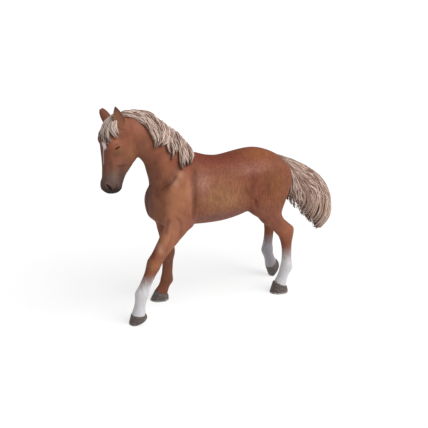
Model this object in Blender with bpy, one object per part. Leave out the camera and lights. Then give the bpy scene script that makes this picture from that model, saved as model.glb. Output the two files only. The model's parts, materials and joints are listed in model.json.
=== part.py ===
"""A painted vinyl toy horse, walking, about one seventeenth of life size.

Metres, +Z up. The horse faces -Y and its left side is +X. The origin lies on the floor,
under the middle of the whole figure. Every size below is in parts: the withers, the top
of the shoulders, stand 100 parts above the floor.

The forms of flesh are lofted through named sections, blended into one body, and then
parted by thin cuts into trunk, neck, head and legs. Hooves, ears, eyes, mane, forelock
and tail are pieces of their own that meet the body with a narrow gap.
"""
import bmesh
import bpy
import numpy as np
from mathutils.bvhtree import BVHTree

for old in list(bpy.data.objects):
    bpy.data.objects.remove(old)

# ------------------------------------------------------------------ driving sizes
WITHERS = 0.088                 # floor to the top of the withers
PART = WITHERS / 100            # one part, in metres
GAP = 0.0003 / PART             # between pieces that touch, 0.3 mm, in parts
HAIR_GAP = 0.6                  # between ears, mane and forelock
MIDDLE = (0.0, 56.7)            # X and Y of the middle of the figure's box, in parts

GRAIN = 0.85                    # cell of the blended body, in parts
BODY_FACES = 4300               # triangles of the body before it is cut
HAIR_GRAIN = 0.65               # cell of the blended mane, forelock and tail
MANE_FACES = 1000
FORELOCK_FACES = 300
TAIL_FACES = 900
CLEARANCE_FACES = 600           # of the room kept free round each of them

# Sections: (front or top y, z), (back or under y, z), x, half width, place of the widest
# point from back to front, roundness of the front half, roundness of the back half.
# A roundness of 2 is an ellipse, more is squarer, less is sharper.
TRUNK = [
    ((3.2, 74), (3.2, 71), 0, 1.5, .50, 2.0, 2.0),          # breast
    ((3.6, 78), (3.4, 66), 0, 4.5, .50, 2.0, 2.0),
    ((5.8, 82), (5.8, 61.5), 0, 8.0, .50, 2.0, 2.1),
    ((11, 89), (10.8, 58), 0, 11.2, .50, 1.9, 2.2),         # shoulders
    ((20, 98), (22, 55.5), 0, 14.5, .48, 1.7, 2.2),
    ((32, 100.2), (32, 54.5), 0, 16.0, .45, 1.6, 2.2),      # withers and girth
    ((43, 96.8), (43, 53.8), 0, 17.8, .48, 1.9, 2.1),
    ((52, 95.3), (52, 54.0), 0, 18.3, .50, 2.1, 2.1),       # barrel
    ((60, 96.2), (60, 55.6), 0, 17.6, .52, 2.1, 2.1),
    ((68, 97.5), (68, 58.8), 0, 16.6, .52, 2.0, 2.1),       # loin and flank
    ((76, 97.8), (76, 62.5), 0, 15.8, .52, 1.9, 2.1),       # croup
    ((84, 95.8), (86, 66.0), 0, 14.0, .55, 1.8, 2.1),
    ((91, 92.6), (93, 68.0), 0, 10.5, .60, 1.8, 2.0),
    ((96, 89.0), (97, 73.0), 0, 6.0, .65, 1.9, 2.0),
    ((98, 86.0), (98.5, 79.0), 0, 2.5, .50, 2.0, 2.0),      # dock
]
NECK = [                        # crest, underline
    ((36, 96), (24, 62), 0, 10.0, .44, 1.5, 1.8),
    ((30, 100.2), (12, 67), 0, 10.4, .45, 1.5, 1.6),
    ((24.5, 105.8), (5.6, 76.5), 0, 9.2, .47, 1.5, 1.5),
    ((19.0, 111.2), (5.0, 84.5), 0, 8.7, .46, 1.55, 1.65),
    ((12.8, 116.8), (3.6, 90.2), 0, 7.7, .48, 1.6, 1.7),
    ((5.5, 121.8), (0.8, 95.8), 0, 6.9, .52, 1.7, 1.8),
    ((-2, 124.6), (-2.8, 99.6), 0, 6.3, .58, 1.8, 1.9),
    ((-8, 125.4), (-7.0, 103.0), 0, 6.0, .60, 1.9, 2.0),
    ((-13, 124.5), (-11.0, 107.0), 0, 5.0, .60, 2.0, 2.0),  # poll
]
HEAD = [                        # line of the face, line of the jaw
    ((-11.5, 126.6), (-6.5, 124.0), 0, 2.5, .50, 2.0, 2.0),
    ((-16.2, 125.4), (-3.5, 117.0), 0, 5.6, .55, 2.2, 2.0),
    ((-19.3, 121.5), (-2.8, 111.0), 0, 7.0, .64, 2.5, 2.0),
    ((-21.2, 116.0), (-2.6, 105.5), 0, 8.5, .71, 3.1, 2.0), # forehead
    ((-22.4, 110.8), (-2.8, 101.0), 0, 9.2, .75, 3.6, 2.1), # eyes and jowl
    ((-22.8, 105.0), (-4.6, 98.2), 0, 7.6, .70, 3.0, 2.2),
    ((-23.0, 100.0), (-7.4, 95.9), 0, 6.1, .64, 2.6, 2.2),
    ((-23.3, 95.0), (-9.9, 92.4), 0, 5.1, .60, 2.4, 2.2),
    ((-23.9, 90.0), (-11.2, 88.6), 0, 4.8, .58, 2.3, 2.2),
    ((-24.6, 86.8), (-12.0, 86.0), 0, 5.0, .56, 2.3, 2.2),  # nostrils
    ((-24.2, 83.8), (-12.8, 83.6), 0, 4.7, .50, 2.2, 2.2),
    ((-21.9, 81.8), (-14.8, 81.8), 0, 3.3, .50, 2.0, 2.0),  # lips
]
SHOULDER = [                    # the left one; the right one is its mirror image
    ((21, 96), (30, 95), 4.5, 2.5, .50, 2.0, 2.0),
    ((15, 90), (32, 88), 7.5, 5.0, .50, 2.0, 2.0),
    ((10.6, 81), (32.5, 79), 9.3, 6.2, .50, 2.0, 2.0),
    ((8.4, 72), (32, 70), 10.4, 6.5, .50, 2.0, 2.0),        # point of the shoulder
    ((8.4, 64.5), (30.5, 62.5), 11.5, 6.0, .50, 2.0, 2.0),
    ((9.6, 58.5), (28.5, 57), 12.2, 5.0, .50, 2.0, 2.0),    # elbow
    ((12, 55), (24, 54.5), 12.5, 3.4, .50, 2.0, 2.0),
]
THIGH = [
    ((78, 93), (90, 91), 6.0, 3.5, .50, 2.0, 2.0),          # hip
    ((70, 85.5), (96.5, 86), 8.2, 6.4, .50, 2.0, 2.0),
    ((66.5, 77), (98.8, 78.5), 9.6, 7.6, .50, 2.1, 2.0),
    ((65.5, 70), (97.8, 71), 10.8, 7.6, .50, 2.1, 2.0),     # buttock
    ((65.2, 62.5), (94.8, 64.5), 11.8, 6.8, .50, 2.1, 2.0), # stifle
    ((67.5, 57.2), (92.0, 59.5), 12.3, 5.6, .50, 2.0, 2.0),
    ((73.5, 52.6), (90.0, 55.5), 12.5, 4.2, .50, 2.0, 2.0),
    ((79, 49.5), (88, 52), 12.6, 2.6, .50, 2.0, 2.0),
]

# Hooves: x, coronet front, coronet back, toe, heel (each y, z), half width above, below.
# The left fore rests on its toe, the right hind on the tip of its toe.
HOOVES = {
    "fore_left": (10.8, (-13.7, 8.3), (-4.4, 5.8), (-14.9, -0.8), (-3.7, 3.1), 4.5, 5.3),
    "fore_right": (-13.5, (12.6, 6.6), (20.9, 3.0), (8.6, -0.6), (21.0, -0.6), 4.4, 5.6),
    "hind_left": (12.0, (86.4, 7.8), (96.0, 3.4), (83.8, -0.6), (96.7, -0.6), 4.5, 5.6),
    "hind_right": (-12.5, (95.4, 7.6), (103.4, 11.6), (98.9, -1.2), (104.5, 9.8), 4.2, 5.2),
}

# Legs: where the joints stand (x, y, z), and how thick the leg is between them. A place
# of 1.5 lies halfway from joint 1 to joint 2. The sizes are to the front, to the back
# and to either side of the line through the joints. Joint 3 is the coronet, the top of
# the hoof, and joint 4 the middle of the sole.
FORE_JOINTS = {                 # elbow, knee, fetlock
    "left": [(13.0, 19.0, 62), (12.2, 1.6, 37.6), (11.0, -6.4, 18.7)],
    "right": [(-12.5, 20.5, 62), (-13.0, 21.6, 33.6), (-13.4, 20.6, 13.0)],
}
FORE_SIZES = [                  # place, front, back, half width
    (-0.10, 6.0, 6.0, 3.5),
    (0.10, 8.2, 7.6, 5.0),
    (0.35, 7.0, 6.2, 4.8),
    (0.62, 5.3, 4.7, 4.1),
    (0.86, 4.2, 3.8, 3.6),
    (1.00, 4.4, 4.0, 3.8),
    (1.12, 3.9, 4.0, 3.5),
    (1.30, 3.2, 3.2, 2.7),
    (1.60, 3.1, 3.0, 2.6),
    (1.85, 3.4, 3.2, 2.9),
    (2.00, 4.0, 4.0, 3.4),
    (2.30, 3.4, 3.2, 3.0),
    (2.65, 3.2, 3.1, 3.2),
    (3.00, 4.4, 4.0, 4.3),
    (3.40, 4.6, 4.2, 4.5),
]
HIND_JOINTS = {                 # stifle, hock, fetlock
    "left": [(13.0, 78.0, 58.0), (12.0, 94.9, 42.0), (12.0, 95.7, 17.0)],
    "right": [(-13.0, 80.0, 60.0), (-12.4, 97.8, 45.4), (-12.4, 95.5, 20.4)],
}
HIND_SIZES = [
    (-0.05, 7.0, 7.0, 4.0),
    (0.15, 8.8, 8.6, 5.2),
    (0.40, 6.4, 6.6, 4.5),
    (0.65, 4.9, 5.0, 3.7),
    (0.88, 4.2, 5.0, 3.3),
    (1.00, 4.3, 5.3, 3.7),
    (1.12, 3.8, 4.4, 3.5),
    (1.30, 2.9, 3.3, 2.7),
    (1.60, 2.6, 3.0, 2.5),
    (1.85, 3.0, 3.2, 2.8),
    (2.00, 3.7, 4.1, 3.3),
    (2.30, 3.4, 3.2, 3.1),
    (2.65, 3.2, 3.1, 3.2),
    (3.00, 4.4, 3.9, 4.2),
    (3.40, 4.6, 4.1, 4.4),
]

BROW = (6.9, -19.6, 112.2)      # middle of the left brow, and its radii
BROW_RADII = (2.9, 3.5, 3.6)
EYE = (8.0, -17.6, 109.4)       # the left one
EYE_RADII = (1.2, 1.7, 1.35)

# Ears: root, tip (x, y, z), half width, how far the cup turns outwards from the front.
EARS = {
    "left": ((5.4, -12.8, 119.5), (5.2, -15.8, 132.4), 3.1, 80),
    "right": ((-5.4, -14.2, 119.0), (-8.0, -20.3, 130.3), 3.1, 80),
}

# Locks of hair: width, thickness, then the points that the lock hangs through. A point of
# the mane is (y, z), and x comes from the flesh. A point of the forelock is a direction
# seen from the middle of the forehead: degrees round to the left, and degrees upwards.
MANE = [
    (4.6, 2.8, [(-11, 126.8), (-5, 127.0), (0.5, 123.0), (4.6, 116.0), (5.8, 107.8)]),
    (5.0, 3.0, [(-6, 127.4), (2, 125.6), (7.6, 119.0), (9.2, 108.6)]),
    (5.2, 3.0, [(2, 126.2), (8.8, 121.2), (12.2, 112.6), (13.0, 103.6)]),
    (5.2, 3.0, [(9, 122.2), (14.0, 116.2), (15.8, 107.4), (15.6, 99.6)]),
    (5.2, 3.0, [(14.8, 118.2), (19.0, 112.0), (19.4, 104.2), (18.6, 100.6)]),
    (5.0, 3.0, [(19.8, 113.8), (23.0, 107.2), (22.6, 99.0), (21.0, 93.2)]),
    (4.8, 2.8, [(24, 108.8), (26.6, 103.0), (25.8, 96.8), (24.4, 93.8)]),
    (4.2, 2.6, [(28, 104.4), (29.6, 100.4), (28.6, 97.2), (27.6, 95.4)]),
    (3.4, 2.2, [(31.5, 101.2), (32.0, 99.8), (30.8, 98.8), (29.6, 98.8)]),
]
MANE_RIDGE = [(0, -12.5, 125.9), (0, -5, 126.6), (0, 3.4, 125.2), (0, 12, 119.7),
              (0, 19.5, 113.9), (0, 25.4, 107.7), (0, 29.6, 102.5), (0, 33.4, 99.4)]
RIDGE_WIDTH = 5.8
RIDGE_THICK = 4.6
FOREHEAD = (0, -12, 114)        # where the forelock's directions are seen from
FORELOCK = [
    (4.2, 2.4, [(-12, 74), (-17, 48), (-22, 24), (-22, 2)]),
    (4.0, 2.4, [(4, 76), (10, 50), (22, 24), (36, -4)]),
    (4.0, 2.4, [(22, 76), (28, 50), (38, 24), (48, 0)]),
    (4.2, 2.6, [(40, 74), (44, 50), (54, 28), (64, 9)]),
    (3.6, 2.4, [(60, 66), (64, 50), (70, 34), (74, 20)]),
]
TAIL = [                        # outer line, inner line
    ((93.0, 91.2), (96.2, 85.0), 0, 2.6, .50, 2.0, 2.0),
    ((99.5, 89.2), (98.9, 77.0), 0, 3.8, .50, 2.0, 2.0),
    ((107.7, 85.6), (100.6, 69.0), 0, 4.8, .50, 2.0, 2.0),
    ((115.0, 81.6), (102.9, 62.6), 0, 5.3, .50, 2.0, 2.0),
    ((121.5, 77.4), (106.2, 58.0), 0, 5.5, .50, 2.0, 2.0),
    ((128.0, 71.8), (109.8, 54.0), 0, 5.5, .50, 2.0, 2.0),
    ((132.9, 65.8), (113.4, 50.4), 0, 5.3, .50, 2.0, 2.0),
    ((136.6, 58.2), (117.0, 46.8), 0, 4.9, .50, 2.0, 2.0),
    ((138.0, 50.0), (120.8, 43.0), 0, 4.3, .50, 2.0, 2.0),
    ((137.6, 43.2), (124.2, 39.4), 0, 3.5, .50, 2.0, 2.0),
    ((135.2, 38.0), (127.2, 36.2), 0, 2.4, .50, 2.0, 2.0),
    ((131.2, 34.0), (129.0, 33.8), 0, 1.0, .50, 2.0, 2.0),
]
TAIL_TIPS = 7                   # locks whose tips make the ragged inner edge
TAIL_TIP_SIZE = (4.4, 4.0)      # their width and thickness

# Cuts: middle, a direction along the cut, another, half lengths along both. Each cut ends
# in the open, beyond the flesh that it parts. The leg cuts are the left ones.
NECK_CUT = ((0, 17.8, 90.8), (1, 0, 0), (0, 26.5, 17.5), 20, 22)
HEAD_CUT = ((0, -6.0, 112.6), (1, 0, 0), (0, -7, 28.2), 14, 17)
FORELEG_CUT = ((12, 17, 58.4), (1, 0, 0.75), (0, 1, 0), 13.2, 22)
HINDLEG_CUT = ((12, 83, 66.2), (1, 0, 0.5), (0, 1, 0.25), 12.3, 18.6)

# What the cuts leave, told apart by where the middle of each piece stands.
PLACES = {
    "trunk": (0, 52, 76), "neck": (0, 10, 102), "head": (0, -15, 105),
    "foreleg_left": (12, 3, 36), "foreleg_right": (-11, 20, 34),
    "hindleg_left": (11, 90, 42), "hindleg_right": (-11, 92, 44),
}

# Colours, linear, with the roughness of the paint.
CHESTNUT = ((0.33, 0.12, 0.055), 0.5)
FLAXEN = ((0.48, 0.33, 0.24), 0.6)
HORN = ((0.045, 0.036, 0.032), 0.55)
EYE_PAINT = ((0.01, 0.007, 0.006), 0.15)
SIDES = (("left", 1), ("right", -1))


# ------------------------------------------------------------------ shapes as arrays
def through(places, rows, at):
    """A smooth curve through rows, which stand at places, read at the places at.

    Between two rows it is the cubic whose slopes at the rows are the mean of the slopes
    on either side, weighted by how near the neighbours are.
    """
    places = np.asarray(places, float)
    rows = np.asarray(rows, float)
    step = np.diff(places)[:, None]
    chord = np.diff(rows, axis=0) / step
    slope = np.vstack([chord[:1], chord[-1:]])
    if len(rows) > 2:
        inner = (chord[:-1] * step[1:] + chord[1:] * step[:-1]) / (step[1:] + step[:-1])
        slope = np.vstack([chord[:1], inner, chord[-1:]])
    k = np.clip(np.searchsorted(places, at, side="right") - 1, 0, len(places) - 2)
    h = step[k]
    t = (np.asarray(at) - places[k])[:, None] / h
    return ((1 + 2 * t) * (1 - t) ** 2 * rows[k] + t * (1 - t) ** 2 * h * slope[k]
            + t * t * (3 - 2 * t) * rows[k + 1] + t * t * (t - 1) * h * slope[k + 1])


def closed(grid):
    """Points and faces of a tube given as rings, with a point in the middle of each end."""
    rings, around = grid.shape[:2]
    i = np.arange(rings - 1)[:, None] * around
    j = np.arange(around)[None, :]
    k = (j + 1) % around
    sides = np.stack([i + j, i + k, i + around + k, i + around + j], -1).reshape(-1, 4)
    points = np.vstack([grid.reshape(-1, 3), grid[0].mean(0), grid[-1].mean(0)])
    first, last = rings * around, rings * around + 1
    j, k = j[0], k[0]
    end = (rings - 1) * around
    caps = [(first, b, a) for a, b in zip(j, k)] + [(last, end + a, end + b) for a, b in zip(j, k)]
    return points, [tuple(f) for f in sides] + caps


def loft(sections, side=1, around=32, along=4):
    """A form through sections; each ring is two half superellipses that share one width."""
    rows = np.array([(*a, *b, side * x, *rest) for a, b, x, *rest in sections])
    middle = np.stack([rows[:, 4], (rows[:, 0] + rows[:, 2]) / 2,
                       (rows[:, 1] + rows[:, 3]) / 2], 1)
    steps = np.maximum(np.linalg.norm(np.diff(middle, axis=0), axis=1), 0.5)
    places = np.concatenate([[0], np.cumsum(steps)])
    count = len(rows)
    at = np.interp(np.linspace(0, count - 1, (count - 1) * along + 1), np.arange(count), places)
    r = through(places, rows, at)[:, None, :]
    turn = np.linspace(0, 2 * np.pi, around, endpoint=False)[None, :]
    c, s = np.cos(turn), np.sin(turn)
    power = 2 / np.where(c > 0, r[..., 7], r[..., 8])
    c = np.sign(c) * np.abs(c) ** power
    s = np.sign(s) * np.abs(s) ** power
    front, back = r[..., 0:2], r[..., 2:4]
    widest = back + (front - back) * r[..., 6:7]
    reach = np.where((c > 0)[..., None], front - widest, back - widest)
    line = widest + np.abs(c)[..., None] * reach
    return closed(np.concatenate([(r[..., 4] + r[..., 5] * s)[..., None], line], -1))


def limb(joints, sizes, around=20, along=3):
    """A leg round the line through its joints; the rings turn smoothly at each joint."""
    joints = np.asarray(joints, float)
    sizes = np.asarray(sizes, float)
    place = np.concatenate([np.linspace(a, b, along, endpoint=False)
                            for a, b in zip(sizes[:-1, 0], sizes[1:, 0])] + [sizes[-1:, 0]])
    size = through(sizes[:, 0], sizes[:, 1:], place)
    bone = np.clip(np.floor(place).astype(int), 0, len(joints) - 2)
    centre = joints[bone] + (place - bone)[:, None] * (joints[bone + 1] - joints[bone])
    ways = np.diff(joints, axis=0)
    ways /= np.linalg.norm(ways, axis=1)[:, None]
    way = ways[bone]
    bend = 0.22                                             # reach of a joint's bend
    for j in range(1, len(joints) - 1):
        near = np.abs(place - j) < bend
        mix = 0.5 + (place[near] - j) / (2 * bend)
        mix = (mix * mix * (3 - 2 * mix))[:, None]
        way[near] = ways[j - 1] * (1 - mix) + ways[j] * mix
    way /= np.linalg.norm(way, axis=1)[:, None]
    side = np.array([1.0, 0, 0]) - way * way[:, :1]
    side /= np.linalg.norm(side, axis=1)[:, None]
    front = np.cross(side, way)
    front *= np.where(front[:, 1:2] > 0, -1, 1)
    turn = np.linspace(0, 2 * np.pi, around, endpoint=False)[None, :, None]
    c, s = np.cos(turn), np.sin(turn)
    deep = np.where(c > 0, size[:, None, 0:1], size[:, None, 1:2])
    return closed(centre[:, None] + c * deep * front[:, None] + s * size[:, None, 2:3] * side[:, None])


def lock(width, thick, path, out, around=10, along=5):
    """A flattened lock of hair along path, with its flat side facing out.

    Its width swells from the root and runs out at the tip, as the square root of a sine,
    and its thickness runs out with it.
    """
    path = np.asarray(path, float)
    steps = np.linalg.norm(np.diff(path, axis=0), axis=1)
    places = np.concatenate([[0], np.cumsum(steps)])
    at = np.linspace(0, places[-1], (len(path) - 1) * along + 1)
    line = through(places, path, at)
    flat = through(places, np.asarray(out, float), at)
    way = np.gradient(line, axis=0)
    way /= np.linalg.norm(way, axis=1)[:, None]
    flat -= way * (flat * way).sum(1)[:, None]
    flat /= np.linalg.norm(flat, axis=1)[:, None]
    across = np.cross(way, flat)
    u = at / places[-1]
    swell = np.sqrt(np.sin(np.pi * (0.12 + 0.86 * u)))
    half = (swell * width / 2)[:, None, None]
    deep = (swell * thick / 2)[:, None, None]
    turn = np.linspace(0, 2 * np.pi, around, endpoint=False)[None, :, None]
    return closed(line[:, None] + np.cos(turn) * half * across[:, None]
                  + np.sin(turn) * deep * flat[:, None])


# ------------------------------------------------------------------ meshes and solids
def mesh_of(name, shapes):
    """One mesh holding the given (points, faces) shapes, in parts."""
    points, faces, start = [], [], 0
    for p, f in shapes:
        points.append(np.asarray(p, float))
        faces += [tuple(start + i for i in face) for face in f]
        start += len(p)
    mesh = bpy.data.meshes.new(name)
    mesh.from_pydata(np.vstack(points).tolist(), [], faces)
    work = bmesh.new()
    work.from_mesh(mesh)
    bmesh.ops.recalc_face_normals(work, faces=work.faces)
    work.to_mesh(mesh)
    work.free()
    return mesh


def held(mesh, name="work"):
    """An object that holds mesh, in the scene."""
    holder = bpy.data.objects.new(name, mesh)
    bpy.context.scene.collection.objects.link(holder)
    return holder


def settled(holder):
    """The mesh that the holder's modifiers make, as its own mesh; the holder goes."""
    mesh = bpy.data.meshes.new_from_object(
        holder.evaluated_get(bpy.context.evaluated_depsgraph_get()))
    bpy.data.objects.remove(holder)
    return mesh


def welded(mesh, grain):
    """The shapes in mesh, run together into one skin of cells of the given size."""
    holder = held(mesh)
    remesh = holder.modifiers.new("weld", "REMESH")
    remesh.mode = "VOXEL"
    remesh.voxel_size = grain
    return settled(holder)


def points_of(mesh):
    """The mesh's points, one row each."""
    points = np.empty(len(mesh.vertices) * 3)
    mesh.vertices.foreach_get("co", points)
    return points.reshape(-1, 3)


def normals_of(mesh):
    """The direction out of the mesh at each of its points."""
    normals = np.empty(len(mesh.vertices) * 3)
    mesh.vertex_normals.foreach_get("vector", normals)
    return normals.reshape(-1, 3)


def put(mesh, points):
    """Moves the mesh's points to the given rows."""
    mesh.vertices.foreach_set("co", points.ravel())
    mesh.update()


def relaxed(mesh, rounds, weight):
    """Moves each point by its weight towards the mean of its neighbours, some rounds."""
    edges = np.empty(len(mesh.edges) * 2, int)
    mesh.edges.foreach_get("vertices", edges)
    a, b = edges.reshape(-1, 2).T
    points = points_of(mesh)
    count = np.bincount(edges, minlength=len(points))[:, None]
    for _ in range(rounds):
        total = np.stack([np.bincount(a, points[b, i], len(points))
                          + np.bincount(b, points[a, i], len(points)) for i in range(3)], 1)
        points += (total / count - points) * weight[:, None]
    put(mesh, points)


def thinned(mesh, triangles):
    """The mesh in about so many triangles."""
    holder = held(mesh)
    fewer = holder.modifiers.new("thin", "DECIMATE")
    fewer.ratio = triangles / sum(len(p.vertices) - 2 for p in mesh.polygons)
    fewer.use_collapse_triangulate = True
    return settled(holder)


def less(mesh, *cutters):
    """The mesh with each cutter's inside taken away."""
    for cutter in cutters:
        holder, tool = held(mesh), held(cutter, "cutter")
        cut = holder.modifiers.new("cut", "BOOLEAN")
        cut.operation = "DIFFERENCE"
        cut.solver = "EXACT"
        cut.object = tool
        mesh = settled(holder)
        bpy.data.objects.remove(tool)
    return mesh


def slab(middle, first, second, half_first, half_second, thick):
    """A thin box round middle, spanned by two directions."""
    u = np.asarray(first, float) / np.linalg.norm(first)
    w = np.cross(u, second)
    w /= np.linalg.norm(w)
    v = np.cross(w, u)
    corners = [np.asarray(middle) + i * u * half_first + j * v * half_second + k * w * thick / 2
               for i in (-1, 1) for j in (-1, 1) for k in (-1, 1)]
    faces = [(0, 1, 3, 2), (4, 6, 7, 5), (0, 4, 5, 1), (2, 3, 7, 6), (0, 2, 6, 4), (1, 5, 7, 3)]
    return mesh_of("slab", [(np.array(corners), faces)])


def islands(mesh):
    """The separate closed bodies in mesh, each as a mesh, largest first."""
    work = bmesh.new()
    work.from_mesh(mesh)
    left, found = set(work.verts), []
    while left:
        group, edge = set(), [left.pop()]
        while edge:
            vert = edge.pop()
            group.add(vert)
            for link in vert.link_edges:
                other = link.other_vert(vert)
                if other in left:
                    left.discard(other)
                    edge.append(other)
        found.append(sorted(v.index for v in group))
    work.free()
    found.sort(key=lambda g: (-len(g), g[0]))
    points = points_of(mesh)
    bodies = []
    for group in found:
        new = {old: i for i, old in enumerate(group)}
        faces = [[new[i] for i in p.vertices] for p in mesh.polygons if p.vertices[0] in new]
        bodies.append(mesh_of("body", [(points[group], faces)]))
    return bodies


def swollen(mesh, by):
    """A copy of the mesh with every point moved out along its normal."""
    bigger = mesh.copy()
    put(bigger, points_of(mesh) + normals_of(mesh) * by)
    return bigger


def finished(name, mesh, paint):
    """The named piece: mesh in metres round the figure's middle, with its material."""
    work = bmesh.new()
    work.from_mesh(mesh)
    bmesh.ops.triangulate(work, faces=work.faces)
    work.to_mesh(mesh)
    work.free()
    put(mesh, (points_of(mesh) - (*MIDDLE, 0)) * PART)
    mesh.name = name
    mesh.shade_smooth()
    mesh.set_sharp_from_angle(angle=np.radians(50))
    material = bpy.data.materials.new(name)
    material.use_nodes = True
    shader = material.node_tree.nodes["Principled BSDF"]
    shader.inputs["Base Color"].default_value = (*paint[0], 1)
    shader.inputs["Roughness"].default_value = paint[1]
    shader.inputs["Metallic"].default_value = 0.0
    mesh.materials.clear()
    mesh.materials.append(material)
    held(mesh, name)


def hoof_joints(foot):
    """The middle of the coronet and the middle of the sole."""
    x, front, back, toe, heel, *_ = HOOVES[foot]
    return [(x, (front[0] + back[0]) / 2, (front[1] + back[1]) / 2),
            (x, (toe[0] + heel[0]) / 2, (toe[1] + heel[1]) / 2)]


def ball(middle, radii, around=10, rings=6):
    """An ellipsoid with its poles to the sides."""
    turn = np.linspace(0, 2 * np.pi, around, endpoint=False)[None, :]
    rise = np.linspace(0.06, np.pi - 0.06, rings)[:, None]
    grid = np.stack([np.cos(rise) * np.ones_like(turn), np.sin(rise) * np.cos(turn),
                     np.sin(rise) * np.sin(turn)], -1)
    return closed(grid * radii + middle)


def ear(root, tip, half, turn, rings=9, around=12):
    """A cupped leaf from root to tip: the back a half ellipse, the front scooped."""
    root, tip = np.asarray(root, float), np.asarray(tip, float)
    way = (tip - root) / np.linalg.norm(tip - root)
    face = np.array([np.sign(root[0]) * np.sin(np.radians(turn)), -np.cos(np.radians(turn)), 0])
    face -= way * (face @ way)
    face /= np.linalg.norm(face)
    across = np.cross(way, face)
    u = np.linspace(0, 1, rings)
    leaf = through([0, .2, .42, .7, .9, 1], [[.66], [.9], [1], [.74], [.36], [.08]], u)[:, None]
    angle = np.linspace(0, 2 * np.pi, around, endpoint=False)[None, :, None]
    c, s = np.cos(angle), np.sin(angle)
    scoop = 0.5 - 0.95 * np.clip(u / 0.4, 0, 1)              # full at the root, then hollow
    front = np.where(s < 0, -1.0, scoop[:, None, None])
    centre = (root + (tip - root) * u[:, None])[:, None]
    return closed(centre + c * half * leaf * across
                  + (front * np.abs(s) + 0.4) * 0.75 * half * leaf * face)


# ------------------------------------------------------------------ flesh
forms = [loft(TRUNK, around=36), loft(NECK), loft(HEAD)]
for name, side in SIDES:
    forms += [loft(SHOULDER, side), loft(THIGH, side)]
    forms.append(ball(np.array(BROW) * (side, 1, 1), BROW_RADII, 20, 12))
    forms.append(limb(FORE_JOINTS[name] + hoof_joints("fore_" + name), FORE_SIZES))
    forms.append(limb(HIND_JOINTS[name] + hoof_joints("hind_" + name), HIND_SIZES))
flesh = welded(mesh_of("flesh", forms), GRAIN)
blended = points_of(flesh)
slim = (blended[:, 2] < 50) | (blended[:, 1] < -6)          # legs and head keep their size
relaxed(flesh, 14, np.where(slim, 0.12, 0.5))
flesh = thinned(flesh, BODY_FACES)
skin = BVHTree.FromPolygons(points_of(flesh).tolist(), [tuple(p.vertices) for p in flesh.polygons])

cuts = [slab(*NECK_CUT, GAP), slab(*HEAD_CUT, GAP)]
for name, side in SIDES:
    for middle, first, second, *lengths in (FORELEG_CUT, HINDLEG_CUT):
        mirror = np.array([side, 1, 1])
        cuts.append(slab(middle * mirror, first * mirror, second, *lengths, GAP))
for foot, (x, front, back, *_) in HOOVES.items():           # above each coronet
    along = np.subtract(back, front)
    up = np.array([0, -along[1], along[0]]) / np.hypot(*along)
    middle = np.array(hoof_joints(foot)[0]) + up * GAP / 2
    cuts.append(slab(middle, (1, 0, 0), (0, *along), 7, 7, GAP))
solids = {}
for body in islands(less(flesh, *cuts)):
    middle = points_of(body).mean(0)
    name = min(PLACES, key=lambda n: np.linalg.norm(middle - PLACES[n]))
    solids.setdefault(name, body)
for name, side in SIDES:
    middle = np.array(EYE) * (side, 1, 1)
    socket = mesh_of("socket", [ball(middle, np.array(EYE_RADII) + GAP)])
    solids["head"] = less(solids["head"], socket)
    finished("eye_" + name, mesh_of("eye", [ball(middle, EYE_RADII)]), EYE_PAINT)
for name, body in solids.items():
    finished(name, body, CHESTNUT)


# ------------------------------------------------------------------ ears and hair
taken = [swollen(flesh, GAP)]


def grown(name, mesh, paint):
    """The named piece where it grows on the flesh, clear of it and of all grown before."""
    mesh = islands(less(mesh, *taken))[0]
    room = welded(swollen(mesh, HAIR_GAP), HAIR_GRAIN)
    taken.append(thinned(room, CLEARANCE_FACES))
    finished(name, mesh, paint)


for name, sizes in EARS.items():
    grown("ear_" + name, mesh_of("ear", [ear(*sizes)]), CHESTNUT)

# The mane's locks hang from the crest down the left side of the neck, over a low ridge.
BESIDE = 60                     # farther to the left than any flesh
locks = []
for width, thick, path in MANE:
    hits = [skin.ray_cast((BESIDE, y, z), (-1, 0, 0))[0] for y, z in path]
    side = np.array([hit.x if hit else 0 for hit in hits]) + thick * 0.4
    side[0] = -0.6
    fall = np.linspace(0, 1, len(path))
    out = np.stack([0.25 + fall * 1.6, 0 * fall, 1 - fall * 0.9], 1)
    locks.append(lock(width, thick, [(x, y, z) for x, (y, z) in zip(side, path)], out))
up_and_back = [(0, 0.3, 1)] * len(MANE_RIDGE)
locks.append(lock(RIDGE_WIDTH, RIDGE_THICK, MANE_RIDGE, up_and_back, around=12))
mane = welded(mesh_of("mane", locks), HAIR_GRAIN)
relaxed(mane, 3, np.full(len(mane.vertices), 0.3))
grown("mane", thinned(mane, MANE_FACES), FLAXEN)

# The forelock's locks fan out over the forehead from between the ears.
locks = []
for width, thick, path in FORELOCK:
    turn, rise = np.radians(path).T
    out = np.stack([np.sin(turn) * np.cos(rise), -np.cos(turn) * np.cos(rise), np.sin(rise)], 1)
    hits = [skin.ray_cast(FOREHEAD + way * 0.5, way)[0] for way in out]
    locks.append(lock(width, thick, np.array(hits) + out * thick * 0.3, out))
forelock = welded(mesh_of("forelock", locks), HAIR_GRAIN)
grown("forelock", thinned(forelock, FORELOCK_FACES), FLAXEN)

# The tail is one bundle, with the tips of its locks curling in along the inner edge.
locks = [loft(TAIL, around=20, along=3)]
for k in range(TAIL_TIPS):
    low, part = 2 + k, 0.6
    outer, inner = (np.array(TAIL[low][i]) * (1 - part) + np.array(TAIL[low + 1][i]) * part
                    for i in (0, 1))
    start, knee = outer * 0.45 + inner * 0.55, outer * 0.1 + inner * 0.9
    tip = inner + np.array([-0.4, -3.4])
    sway = 1.2 * (-1) ** k
    locks.append(lock(*TAIL_TIP_SIZE, [(sway, *start), (sway * 1.3, *knee), (sway, *tip)],
                      [(1, 0, 0)] * 3))
tail = welded(mesh_of("tail", locks), HAIR_GRAIN)
grown("tail", thinned(tail, TAIL_FACES), FLAXEN)

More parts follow.
